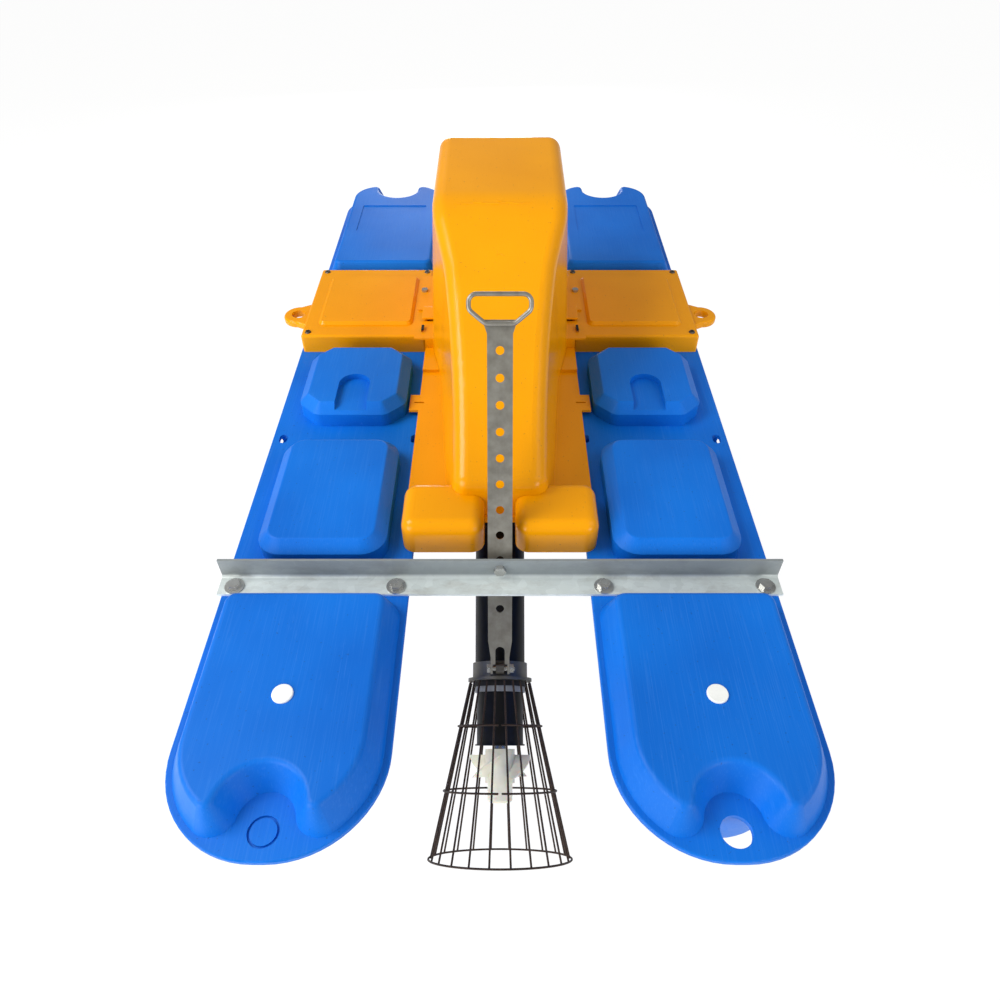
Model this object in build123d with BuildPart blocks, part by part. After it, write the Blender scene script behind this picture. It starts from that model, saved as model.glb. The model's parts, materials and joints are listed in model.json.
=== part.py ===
from build123d import *
import math
import os

# Jet aerator: a raft of two moulded floats that carries a motor on a tilting drive tube.
# Millimetres. +Z up, +Y towards the motor end, -Y towards the impeller, X across the raft.
# The origin lies under the middle of the floats, at the height of the guard cage's lowest point.

# Clearances
assembly_gap = 0.3
running_clearance = 0.05
bolt_clearance = 0.4

# Fasteners used in several places
small_nut_flats = 13
small_nut_height = 6.5
flange_nut_flats = 11

# Floats, laid out along the deck as a chain of blocks and gaps from the near end
float_width = 285.5
float_inner_edge = 139.5
float_near_radius = 136
float_far_radius = 95
float_flange_thickness = 8
float_hull_depth = 130
float_hull_side_inset = 14
float_hull_end_inset = 56
float_hull_radius = 118
float_hull_draft = 9
float_hull_edge_radius = 12
block_end_gap = 8
front_block_length = 372
front_block_gap = 8
angle_block_gap = 20
large_block_length = 272
middle_gap = 75
small_block_length = 216
small_block_gap = 33
box_rear_gap = 10
rear_block_length = 480
block_height = 45
end_block_width = 268
end_block_slope = 20
end_block_edge_radius = 9
end_block_near_radius = 128
end_block_far_radius = 84
end_block_inner_radius = 34
middle_block_x = 281.5
middle_block_width = 204
block_corner_radius = 40
block_bevel = 18
block_edge_radius = 5
small_block_corner_cut = 36
small_block_corner_radius = 24
eye_radius = 19.5
eye_end_distance = 35
eye_scallop_radius = 36
eye_scallop_distance = 47
horn_radius = 30
blind_eye_groove = 3
plug_radius = 14
plug_height = 3
plug_neck_radius = 10
plug_neck = 14
plug_end_distance = 193
finger_recess_width = 60
finger_recess_depth = 12
finger_recess_length = 76
label_recess_length = 148
label_recess_width = 168
label_recess_depth = 1.5
label_end_distance = 230
deck_slot_width = 15
deck_slot_length = 24
deck_slot_depth = 14
deck_slot_inset = 20

# Cross boxes with mooring ears
box_length = 286
box_height = 40
box_outer_x = 420
box_edge_radius = 5
panel_side_border = 30
panel_end_border = 40
panel_height = 7
panel_bevel = 6
panel_corner_radius = 14
ear_x = 444
ear_setback = 103
ear_hole_radius = 15.5
ear_rim = 17
ear_root_length = 100
ear_root_depth = 8
ear_thickness = 16
ear_edge_radius = 5
ear_z = 14
box_screw_inset = 14
box_screw_radius = 4
box_screw_depth = 22
box_screw_tip_gap = 2
box_screw_head_radius = 6.5
box_screw_head_height = 3
hood_bolt_depth = 20

# Cross angle and its bolts
angle_leg = 40
angle_thickness = 4
angle_length = 862
angle_inner_radius = 5
angle_bolt_outer_x = 407
angle_bolt_inner_x = 159
angle_bolt_setback = 25
bolt_radius = 5
bolt_head_flats = 17
bolt_head_height = 6.4
bolt_depth = 24
washer_radius = 15
washer_thickness = 2
insert_radius = 8.5
insert_depth = 28
lock_bolt_height = 20
lock_bolt_tip_gap = 0.4

# Motor tray and hood
tray_half_width = 157
tray_thickness = 14
tray_rear_gap = 7
tray_opening_half_width = 90
tray_opening_near_margin = 72
tray_opening_far_margin = 69
tray_opening_radius = 20
lobe_inner_x = 25
lobe_angle_gap = 48
lobe_length = 66
lobe_height = 60
lobe_radius = 22
lobe_edge_radius = 20
lobe_overlap = 40
tray_tab_length = 48
tray_tab_reach = 18
tray_tab_thickness = 5
tray_tab_setback = 55
tray_slit_length = 20
tray_slit_width = 4
tray_pad_width = 38
tray_pad_length = 78
tray_pad_height = 7
hood_wall = 4
hood_near_margin = 4
hood_far_margin = 9
hood_front_height = 70
hood_crease_setback = 50
hood_waist_setback = 156
hood_crease_height = 335
hood_rear_height = 350
hood_front_half_width = 87
hood_waist_half_width = 118
hood_rear_half_width = 142
hood_front_top_half_width = 15
hood_waist_top_half_width = 93
hood_rear_top_half_width = 124
hood_edge_radius = 26
hood_crease_radius = 160
hood_side_radius = 260
hood_tab_inner_x = 119
hood_tab_outer_x = 179
hood_tab_length = 149
hood_tab_thickness = 4
hood_tab_setback = 173
hood_bolt_x = 170
hood_bolt_setback = 178
hood_bolt_radius = 4
hood_bolt_head_height = 5.3
latch_length = 51
latch_skirt = 16
latch_window_x = 163
latch_window_width = 6
latch_window_length = 20

# Pivot of the drive unit and the angle of its axis at rest
pivot_setback = 34
pivot_height = 173
drive_angle = 27
trunnion_radius = 10
trunnion_end_x = 101
bracket_inner_x = 93
bracket_thickness = 6
bracket_foot_length = 90
bracket_foot_width = 23
bracket_eye_wall = 7
bracket_foot_thickness = 6
bracket_bolt_radius = 4
bracket_bolt_head_height = 5.3
bracket_bolt_tail = 10
bush_wall = 3
bush_flange = 2

# Motor, all along the drive axis, measured from the pivot towards the impeller
motor_radius = 76
motor_rib_height = 5
motor_rib_count = 28
motor_rib_thickness = 2.4
motor_rear_s = -84
motor_front_s = 130
motor_wall = 6
motor_rear_wall = 18
shaft_hole_clearance = 1
fan_cover_length = 46
fan_cover_overlap = 10
fan_cover_wall = 2
front_bell_length = 26
front_bell_radius = 78
cradle_width = 54
cradle_thickness = 6
terminal_box_s = 74
terminal_box_length = 74
terminal_box_width = 62
terminal_box_height = 26
terminal_lid_thickness = 4
gland_radius = 8
gland_length = 16
gland_bore = 4.5

# Coupling housing, tube and lower end along the same axis
lantern_length = 96
lantern_radius = 56
lantern_wall = 5
lantern_flange_radius = 72
lantern_flange_thickness = 8
lantern_window_width = 44
lantern_window_length = 50
flange_bolt_circle = 64
flange_bolt_count = 4
flange_bolt_radius = 4
flange_bolt_head_height = 5.3
air_slot_distance = 22
air_slot_width = 12
air_slot_length = 36
tube_flange_thickness = 8
tube_wall = 3.5
tube_upper_radius = 45
tube_lower_radius = 41.5
tube_straight_end = 10
collar_s = 778
collar_length = 25
collar_thickness = 4
collar_rim_thickness = 5
collar_rim_radius = 53
seal_ring_length = 9
seal_ring_radius = 43.5
spacer_ring_length = 9
spacer_ring_radius = 41.5
outlet_wall = 3
outlet_length = 84
outlet_lip = 2.5
clevis_s = 791.6
clevis_height = 54.4
lug_half_width = 6.5
lug_radius = 8

# Rotor
motor_shaft_radius = 12
rotor_core_radius = 42
rotor_core_length = 110
drive_shaft_radius = 12.5
coupling_radius = 26
coupling_length = 60
fan_radius = 66
fan_blade_count = 7
bearing_width = 14
lower_bearing_length = 24
bearing_outer_radius = 26
impeller_hub_radius = 24
impeller_hub_length = 52
impeller_tip_radius = 49
impeller_blade_count = 4
impeller_blade_length = 34
impeller_blade_thickness = 4
impeller_blade_twist = 62
impeller_blade_steps = 4
air_bore_radius = 7
impeller_gap = 5
nose_radius = 20
nose_length = 30
nose_round = 6

# Guard cage
cage_wire_radius = 1.7
cage_top_radius = 50
cage_mouth_radius = 112
cage_length = 268
cage_wire_count = 22
cage_ring_shares = (0.26, 0.63)

# Lifting strap
strap_width = 38
strap_wall = 3
strap_web_start = 10
weld_gap = 0.05
strap_depth = 14
strap_front_offset = 6
strap_corner_clearance = 0.8
strap_neck_width = 30
strap_neck_start = 22
strap_neck_end = 50
strap_hole_radius = 6.5
strap_hole_pitch = 40
strap_first_hole = 104
strap_hole_count = 11
strap_length = 548
strap_ear_radius = 9
strap_notch_width = 15
strap_notch_top = 40
strap_head_width = 52
strap_head_height = 20
handle_rod_radius = 3.4
handle_width = 91
handle_foot_width = 42
handle_height = 42
handle_waist_height = 20
handle_overlap = 6
handle_corner_radius = 12
clevis_bolt_radius = 4
clevis_head_height = 5.5

# Derived places
slope = math.radians(drive_angle)
cage_s = collar_s + collar_length + collar_rim_thickness + assembly_gap + cage_wire_radius
mouth_s = cage_s + cage_length
cage_reach = mouth_s * math.sin(slope) + cage_mouth_radius * math.cos(slope) + cage_wire_radius
deck_z = cage_reach - pivot_height
pivot_z = deck_z + pivot_height
outlet_radius = tube_lower_radius - tube_wall - running_clearance
float_x = float_inner_edge + float_width / 2

near_blocks_length = block_end_gap + front_block_length + front_block_gap + angle_leg
middle_blocks_length = angle_block_gap + large_block_length + middle_gap + small_block_length
far_blocks_length = small_block_gap + box_length + box_rear_gap + rear_block_length + block_end_gap
float_length = near_blocks_length + middle_blocks_length + far_blocks_length
float_front_y = -float_length / 2
float_rear_y = float_length / 2
front_block_far_y = float_front_y + block_end_gap + front_block_length
angle_near_y = front_block_far_y + front_block_gap
angle_back_y = angle_near_y + angle_leg
large_block_near_y = angle_back_y + angle_block_gap
small_block_near_y = large_block_near_y + large_block_length + middle_gap
box_near_y = small_block_near_y + small_block_length + small_block_gap
box_far_y = box_near_y + box_length
rear_block_near_y = box_far_y + box_rear_gap
deck_slot_y = small_block_near_y - middle_gap / 2
plug_y = float_front_y + plug_end_distance

box_width = box_outer_x - tray_half_width - assembly_gap
box_middle_x = box_outer_x - box_width / 2
box_middle_y = box_near_y + box_length / 2
# Three screws hold each box, and the hood's latch plate covers the fourth corner
box_screw_places = [
    (
        box_middle_x + across * (box_width / 2 - box_screw_inset),
        box_middle_y + end * (box_length / 2 - box_screw_inset),
    )
    for across, end in ((-1, 1), (1, -1), (1, 1))
]
ear_y = box_near_y + ear_setback
tray_front_y = angle_back_y + lobe_angle_gap + lobe_length
tray_rear_y = rear_block_near_y - tray_rear_gap
tray_top_z = deck_z + tray_thickness
pivot_y = box_near_y + pivot_setback
hood_bolt_places = [
    (-hood_bolt_x, box_near_y + hood_bolt_setback),
    (hood_bolt_x, box_near_y + hood_bolt_setback),
]
bracket_foot_x = bracket_inner_x + bracket_foot_width / 2
bracket_bolt_places = [
    (side * (bracket_foot_x + 3), pivot_y + end * (bracket_foot_length / 2 - 12))
    for side in (-1, 1)
    for end in (-1, 1)
]
angle_bolt_y = angle_back_y - angle_bolt_setback
angle_bolt_places = [
    (side * x, angle_bolt_y)
    for side in (-1, 1)
    for x in (angle_bolt_inner_x, angle_bolt_outer_x)
]

# The strap leans from its clevis on the collar back past the angle's lower corner
clevis_y = pivot_y - clevis_s * math.cos(slope) - clevis_height * math.sin(slope)
clevis_z = pivot_z - clevis_s * math.sin(slope) + clevis_height * math.cos(slope)
corner_run = angle_back_y + strap_corner_clearance - clevis_y
corner_rise = deck_z - clevis_z
corner_reach = math.hypot(corner_run, corner_rise)
strap_lean = math.asin(strap_front_offset / corner_reach) + math.atan2(corner_run, corner_rise)
lock_bolt_z = deck_z + lock_bolt_height
lock_rise = lock_bolt_z - bolt_radius - clevis_z
strap_face_y = clevis_y + lock_rise * math.tan(strap_lean) - strap_front_offset / math.cos(strap_lean)
lock_bolt_reach = strap_face_y - lock_bolt_tip_gap - angle_back_y

drive_plane = Plane(
    origin=(0, pivot_y, pivot_z),
    x_dir=(1, 0, 0),
    z_dir=(0, -math.cos(slope), -math.sin(slope)),
)

drive_axis = Axis((0, pivot_y, pivot_z), drive_plane.z_dir)

os.makedirs("parts", exist_ok=True)


def keep(builder, name):
    """Label a finished piece and write it under the same name."""
    builder.part.label = name
    export_step(builder.part, f"parts/{name}.step")


def along(distance):
    """Plane square to the drive axis, at a distance from the pivot towards the impeller."""
    return drive_plane.offset(distance)


def spoke_plane(distance, turn):
    """Plane square to the drive axis, its X direction turned about the axis from +X."""
    angle = math.radians(turn)
    across = Vector(1, 0, 0) * math.cos(angle) + drive_plane.y_dir * math.sin(angle)
    return Plane(origin=along(distance).origin, x_dir=across, z_dir=drive_plane.z_dir)


# Floats


def end_block_outline(near_y, far_y, corner_radius):
    """Plan of a block at a float's end, with round corners and a scallop round the mooring eye."""
    direction = 1 if far_y > near_y else -1
    end_y = far_y + direction * block_end_gap
    with BuildSketch(Plane.XY.offset(deck_z)) as outline:
        with Locations((0, (near_y + far_y) / 2)):
            Rectangle(end_block_width, abs(far_y - near_y))
        end_corners = outline.vertices().sort_by(Axis.Y)[::direction][-2:]
        fillet(end_corners, corner_radius)
        near_corners = outline.vertices().sort_by(Axis.Y)[::direction][:2]
        fillet(near_corners, end_block_inner_radius)
        with Locations((0, end_y - direction * eye_scallop_distance)):
            Circle(eye_scallop_radius, mode=Mode.SUBTRACT)
        with Locations((0, end_y)):
            Rectangle(2 * eye_scallop_radius, 2 * eye_scallop_distance, mode=Mode.SUBTRACT)
        offset(amount=-horn_radius)
        offset(amount=horn_radius)
    return outline.sketch


def build_end_block(near_y, far_y, corner_radius):
    """Block at a float's end: sloping walls and a rounded top edge."""
    with BuildPart() as block:
        add(end_block_outline(near_y, far_y, corner_radius))
        extrude(amount=block_height, taper=math.degrees(math.atan(end_block_slope / block_height)))
        fillet(block.edges().group_by(Axis.Z)[-1], end_block_edge_radius)
    return block.part


def build_large_block():
    """Block next to the cross angle: straight walls, then a bevel."""
    with BuildPart() as block:
        with BuildSketch(Plane.XY.offset(deck_z)):
            with Locations((0, large_block_near_y + large_block_length / 2)):
                RectangleRounded(middle_block_width, large_block_length, block_corner_radius)
        extrude(amount=block_height)
        chamfer(block.edges().group_by(Axis.Z)[-1], block_bevel)
        fillet(block.edges().group_by(Axis.Z)[-1], block_edge_radius)
    return block.part


def build_small_block():
    """Block next to the cross box: cut corners and a horseshoe recess open to the near side."""
    with BuildPart() as block:
        with BuildSketch(Plane.XY.offset(deck_z)) as outline:
            with Locations((0, small_block_near_y + small_block_length / 2)):
                Rectangle(middle_block_width, small_block_length)
            chamfer(outline.vertices(), small_block_corner_cut)
            fillet(outline.vertices(), small_block_corner_radius)
        extrude(amount=block_height)
        chamfer(block.edges().group_by(Axis.Z)[-1], block_bevel)
        fillet(block.edges().group_by(Axis.Z)[-1], block_edge_radius)
        with BuildSketch(Plane.XY.offset(deck_z + block_height)):
            with Locations((0, small_block_near_y + finger_recess_length / 2)):
                Rectangle(finger_recess_width, finger_recess_length)
            with Locations((0, small_block_near_y + finger_recess_length)):
                Circle(finger_recess_width / 2)
        extrude(amount=-finger_recess_depth, mode=Mode.SUBTRACT)
    return block.part


def build_flange():
    """Flat deck of a float, whose near end is a half circle."""
    with BuildPart() as flange:
        with BuildSketch(Plane.XY.offset(deck_z)) as outline:
            Rectangle(float_width, float_length)
            fillet(outline.vertices().sort_by(Axis.Y)[:2], float_near_radius)
            fillet(outline.vertices().sort_by(Axis.Y)[-2:], float_far_radius)
        extrude(amount=-float_flange_thickness)
        fillet(flange.edges().group_by(Axis.Z)[-1], float_flange_thickness / 4)
    return flange.part


def build_hull():
    """Buoyant body under a float's deck, drawn in towards the keel."""
    hull_width = float_width - 2 * float_hull_side_inset
    hull_length = float_length - 2 * float_hull_end_inset
    with BuildPart() as hull:
        with BuildSketch(Plane.XY.offset(deck_z - float_flange_thickness)):
            RectangleRounded(hull_width, hull_length, float_hull_radius)
        extrude(amount=-float_hull_depth + float_flange_thickness, taper=float_hull_draft)
        fillet(hull.edges().group_by(Axis.Z)[0], float_hull_edge_radius)
    return hull.part


float_forms = [
    build_flange(),
    build_hull(),
    build_end_block(front_block_far_y, float_front_y + block_end_gap, end_block_near_radius),
    build_end_block(rear_block_near_y, float_rear_y - block_end_gap, end_block_far_radius),
]
middle_forms = [build_large_block(), build_small_block()]


def build_float(side, open_eye, name):
    """One float: hull below the deck, four blocks above it."""
    eye_places = [
        (side * float_x, float_front_y + eye_end_distance),
        (side * float_x, float_rear_y - eye_end_distance),
    ]
    with BuildPart() as shell:
        with Locations((side * float_x, 0)):
            add(float_forms)
        with Locations((side * middle_block_x, 0)):
            add(middle_forms)

        # Shallow bare panel on the rear block
        with BuildSketch(Plane.XY.offset(deck_z + block_height)):
            with Locations((side * float_x, float_rear_y - label_end_distance)):
                Rectangle(label_recess_width, label_recess_length)
        extrude(amount=-label_recess_depth, mode=Mode.SUBTRACT)

        # Slots in both edges of the deck, between the middle blocks
        with BuildSketch(Plane.XY.offset(deck_z)):
            slot_reach = float_width / 2 - deck_slot_inset
            with Locations(
                (side * float_x - slot_reach, deck_slot_y),
                (side * float_x + slot_reach, deck_slot_y),
            ):
                SlotOverall(deck_slot_length, deck_slot_width, rotation=90)
        extrude(amount=-deck_slot_depth, mode=Mode.SUBTRACT)

        # Mooring eyes: a hole through the near tip of one float, moulded rings elsewhere
        if open_eye:
            with BuildSketch(Plane.XY.offset(deck_z)):
                with Locations(eye_places.pop(0)):
                    Circle(eye_radius)
            extrude(amount=-float_flange_thickness, mode=Mode.SUBTRACT)
        with BuildSketch(Plane.XY.offset(deck_z)):
            with Locations(*eye_places):
                Circle(eye_radius)
                Circle(eye_radius - blind_eye_groove, mode=Mode.SUBTRACT)
        extrude(amount=-blind_eye_groove, mode=Mode.SUBTRACT)

        # Sockets for the threaded inserts under the cross angle
        with BuildSketch(Plane.XY.offset(deck_z)):
            with Locations(
                (side * angle_bolt_inner_x, angle_bolt_y),
                (side * angle_bolt_outer_x, angle_bolt_y),
            ):
                Circle(insert_radius + running_clearance)
        extrude(amount=-insert_depth, mode=Mode.SUBTRACT)

        # Sockets for the screws of the cross box and the filling plug
        with BuildSketch(Plane.XY.offset(deck_z)):
            with Locations(*[(side * x, y) for x, y in box_screw_places]):
                Circle(box_screw_radius + running_clearance)
        extrude(amount=-box_screw_depth, mode=Mode.SUBTRACT)
        with BuildSketch(Plane.XY.offset(deck_z + block_height)):
            with Locations((side * float_x, plug_y)):
                Circle(plug_neck_radius + running_clearance)
        extrude(amount=-plug_neck, mode=Mode.SUBTRACT)
    keep(shell, name)


build_float(-1, False, "float_left")
build_float(1, True, "float_right")

with BuildPart() as fill_plugs:
    with BuildSketch(Plane.XY.offset(deck_z + block_height)):
        with Locations((-float_x, plug_y), (float_x, plug_y)):
            Circle(plug_radius)
    extrude(amount=plug_height)
    fillet(fill_plugs.edges().group_by(Axis.Z)[-1], plug_height / 2)
    with BuildSketch(Plane.XY.offset(deck_z + block_height)):
        with Locations((-float_x, plug_y), (float_x, plug_y)):
            Circle(plug_neck_radius)
    extrude(amount=-plug_neck)
keep(fill_plugs, "fill_plugs")


# Cross boxes: the deep moulded beams that tie the floats together, each with a mooring ear


def build_ear(side):
    """Rounded mooring ear, from inside the box's outer wall to its tip."""
    root_x = side * (box_outer_x - ear_root_depth)
    tip_radius = ear_hole_radius + ear_rim
    with BuildPart() as ear:
        with BuildSketch(Plane.XY.offset(deck_z + ear_z)):
            with BuildLine():
                lobe_near = (side * ear_x, ear_y - tip_radius)
                lobe_far = (side * ear_x, ear_y + tip_radius)
                root_near = (root_x, ear_y - ear_root_length / 2)
                root_far = (root_x, ear_y + ear_root_length / 2)
                Line(root_far, root_near)
                Line(root_near, lobe_near)
                ThreePointArc(lobe_near, (side * (ear_x + tip_radius), ear_y), lobe_far)
                Line(lobe_far, root_far)
            make_face()
        extrude(amount=ear_thickness)
        fillet(ear.edges().filter_by(Plane.XY), ear_edge_radius)
        with BuildSketch(Plane.XY.offset(deck_z + ear_z)):
            with Locations((side * ear_x, ear_y)):
                Circle(ear_hole_radius)
        extrude(amount=ear_thickness, mode=Mode.SUBTRACT)
    return ear.part


def build_panel():
    """Raised bevelled panel on top of a cross box."""
    with BuildPart() as panel:
        with BuildSketch(Plane.XY.offset(deck_z + box_height)):
            with Locations((0, box_middle_y)):
                RectangleRounded(
                    box_width - 2 * panel_side_border,
                    box_length - 2 * panel_end_border,
                    panel_corner_radius,
                )
        extrude(amount=panel_height)
        chamfer(panel.edges().group_by(Axis.Z)[-1], panel_bevel)
    return panel.part


panel_form = build_panel()


def build_cross_box(side, name):
    """One cross box with its raised top panel and a mooring ear on the outer end."""
    ear = build_ear(side)
    with BuildPart() as box:
        with BuildSketch(Plane.XY.offset(deck_z)):
            with Locations((side * box_middle_x, box_middle_y)):
                Rectangle(box_width, box_length)
        extrude(amount=box_height)
        fillet(box.edges().filter_by(Axis.Z), box_edge_radius)
        fillet(box.edges().group_by(Axis.Z)[-1], box_edge_radius)
        with Locations((side * box_middle_x, 0)):
            add(panel_form)
        add(ear)
        with BuildSketch(Plane.XY.offset(deck_z)):
            with Locations(*[(side * x, y) for x, y in box_screw_places]):
                Circle(box_screw_radius + running_clearance)
        extrude(amount=box_height, mode=Mode.SUBTRACT)
        with BuildSketch(Plane.XY.offset(deck_z + box_height)):
            with Locations(*hood_bolt_places):
                Circle(hood_bolt_radius + running_clearance)
        extrude(amount=-hood_bolt_depth, mode=Mode.SUBTRACT)
    keep(box, name)


build_cross_box(-1, "cross_box_left")
build_cross_box(1, "cross_box_right")

with BuildPart() as box_screws:
    screw_places = [(side * x, y) for side in (-1, 1) for x, y in box_screw_places]
    with BuildSketch(Plane.XY.offset(deck_z + box_height)):
        with Locations(*screw_places):
            Circle(box_screw_head_radius)
    extrude(amount=box_screw_head_height)
    fillet(box_screws.edges().group_by(Axis.Z)[-1], 1)
    with BuildSketch(Plane.XY.offset(deck_z + box_height)):
        with Locations(*screw_places):
            Circle(box_screw_radius)
    extrude(amount=-box_height - box_screw_depth + box_screw_tip_gap)
keep(box_screws, "box_screws")

# Cross angle, lying on the deck in front of the tray, with its upright leg at the back
with BuildPart() as cross_angle:
    with BuildSketch(Plane.YZ.offset(-angle_length / 2)) as section:
        with BuildLine():
            Polyline(
                (angle_near_y, deck_z),
                (angle_back_y, deck_z),
                (angle_back_y, deck_z + angle_leg),
                (angle_back_y - angle_thickness, deck_z + angle_leg),
                (angle_back_y - angle_thickness, deck_z + angle_thickness),
                (angle_near_y, deck_z + angle_thickness),
                close=True,
            )
        make_face()
        inner_corner = section.vertices().sort_by_distance((angle_back_y, deck_z, 0))[1]
        fillet(inner_corner, angle_inner_radius)
    extrude(amount=angle_length)
    with BuildSketch(Plane.XY.offset(deck_z)):
        with Locations(*angle_bolt_places):
            Circle(bolt_radius + bolt_clearance)
    extrude(amount=angle_thickness, mode=Mode.SUBTRACT)
    with BuildSketch(Plane.XZ.offset(-angle_back_y)):
        with Locations((0, lock_bolt_z)):
            Circle(bolt_radius + running_clearance)
    extrude(amount=angle_thickness, mode=Mode.SUBTRACT)
keep(cross_angle, "cross_angle")

with BuildPart() as angle_washers:
    with BuildSketch(Plane.XY.offset(deck_z + angle_thickness)):
        with Locations(*angle_bolt_places):
            Circle(washer_radius)
            Circle(bolt_radius + bolt_clearance, mode=Mode.SUBTRACT)
    extrude(amount=washer_thickness)
keep(angle_washers, "angle_washers")

bolt_seat_z = deck_z + angle_thickness + washer_thickness
with BuildPart() as angle_bolts:
    with BuildSketch(Plane.XY.offset(bolt_seat_z)):
        with Locations(*angle_bolt_places):
            RegularPolygon(bolt_head_flats / 2, 6, major_radius=False)
    extrude(amount=bolt_head_height)
    with BuildSketch(Plane.XY.offset(bolt_seat_z)):
        with Locations(*angle_bolt_places):
            Circle(bolt_radius)
    extrude(amount=-bolt_depth)
keep(angle_bolts, "angle_bolts")

with BuildPart() as float_inserts:
    with BuildSketch(Plane.XY.offset(deck_z)):
        with Locations(*angle_bolt_places):
            Circle(insert_radius)
            Circle(bolt_radius + running_clearance, mode=Mode.SUBTRACT)
    extrude(amount=-insert_depth)
keep(float_inserts, "float_inserts")

# Lock bolt: holds the lifting strap against the angle's upright leg
with BuildPart() as lock_bolt:
    lock_face_y = angle_back_y - angle_thickness
    with BuildSketch(Plane.XZ.offset(-lock_face_y)):
        with Locations((0, lock_bolt_z)):
            RegularPolygon(bolt_head_flats / 2, 6, major_radius=False)
    extrude(amount=bolt_head_height)
    with BuildSketch(Plane.XZ.offset(-lock_face_y)):
        with Locations((0, lock_bolt_z)):
            Circle(bolt_radius)
    extrude(amount=-angle_thickness - lock_bolt_reach)
keep(lock_bolt, "lock_bolt")


# Hood: a thin moulded cover, narrower at the top, made from its side outline and two plans


def hood_plan(height, half_widths, front_y, waist_y, crease_y, rear_y):
    """Plan of the hood at a height, from its half widths at the front, the waist and the rear."""
    front, waist, rear = half_widths
    left_side = [(-front, front_y), (-waist, waist_y), (-rear, crease_y), (-rear, rear_y)]
    right_side = [(-x, y) for x, y in reversed(left_side)]
    with BuildSketch(Plane.XY.offset(height)) as plan:
        with BuildLine():
            Polyline(*left_side, *right_side, close=True)
        make_face()
        fillet(plan.vertices().sort_by(Axis.Y)[2:-2], hood_side_radius)
    return plan.sketch


def build_hood_form(inset):
    """Solid form of the hood, drawn in by a wall when it is to be the space inside."""
    front_y = tray_front_y + hood_near_margin + inset
    rear_y = tray_rear_y - hood_far_margin - inset
    crease_y = pivot_y - hood_crease_setback
    waist_y = pivot_y - hood_waist_setback
    base_z = tray_top_z - (assembly_gap if inset > 0 else 0)
    front_z = tray_top_z + hood_front_height - inset
    crease_z = deck_z + hood_crease_height - inset
    top_z = deck_z + hood_rear_height - inset
    base_widths = (hood_front_half_width, hood_waist_half_width, hood_rear_half_width)
    top_widths = (hood_front_top_half_width, hood_waist_top_half_width, hood_rear_top_half_width)
    stations = (front_y, waist_y, crease_y, rear_y)
    with BuildPart() as form:
        add(hood_plan(base_z, [width - inset for width in base_widths], *stations))
        add(hood_plan(top_z, [width - inset for width in top_widths], *stations))
        loft(ruled=True)
        with BuildSketch(Plane.YZ.offset(-hood_rear_half_width)) as profile:
            with BuildLine():
                Polyline(
                    (front_y, base_z),
                    (front_y, front_z),
                    (crease_y, crease_z),
                    (rear_y, top_z),
                    (rear_y, base_z),
                    close=True,
                )
            make_face()
            fillet(profile.vertices().sort_by_distance((crease_y, crease_z, 0))[0], hood_crease_radius)
        extrude(amount=2 * hood_rear_half_width, mode=Mode.INTERSECT)
        rim = form.edges().group_by(Axis.Z)[0]
        posts = [edge for edge in form.edges() if edge.length > hood_wall and edge not in rim]
        end_gaps = [min(abs(edge.center().Y - y) for y in (front_y, rear_y)) for edge in posts]
        ends = [edge for edge, gap in zip(posts, end_gaps) if gap < 1]
        walls = form.faces().filter_by(lambda face: abs(face.normal_at().Z) < 0.3)
        roof = [face for face in form.faces() if face not in walls and face.center().Z > base_z + 1]
        ridge = [edge for face in roof for edge in face.edges() if abs(edge.center().X) > 5]
        fillet(set(ends + ridge), hood_edge_radius - inset)
    return form.part


hood_form = build_hood_form(0)
hood_space = build_hood_form(hood_wall)
hood_seat = build_hood_form(-assembly_gap)

# Motor tray: bridges the gap between the floats, with two rounded lobes at the front
tray_middle_y = (tray_front_y + tray_rear_y) / 2
opening_near_y = tray_front_y + tray_opening_near_margin
opening_far_y = tray_rear_y - tray_opening_far_margin
lobe_width = tray_half_width - lobe_inner_x
lobe_middle_x = lobe_inner_x + lobe_width / 2
lobe_middle_y = tray_front_y - lobe_length / 2 + lobe_overlap / 2
with BuildPart() as lobes:
    with BuildSketch(Plane.XY.offset(deck_z)):
        with Locations((-lobe_middle_x, lobe_middle_y), (lobe_middle_x, lobe_middle_y)):
            RectangleRounded(lobe_width, lobe_length + lobe_overlap, lobe_radius)
    extrude(amount=lobe_height)
    fillet(lobes.edges().group_by(Axis.Z)[-1], lobe_edge_radius)

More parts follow.
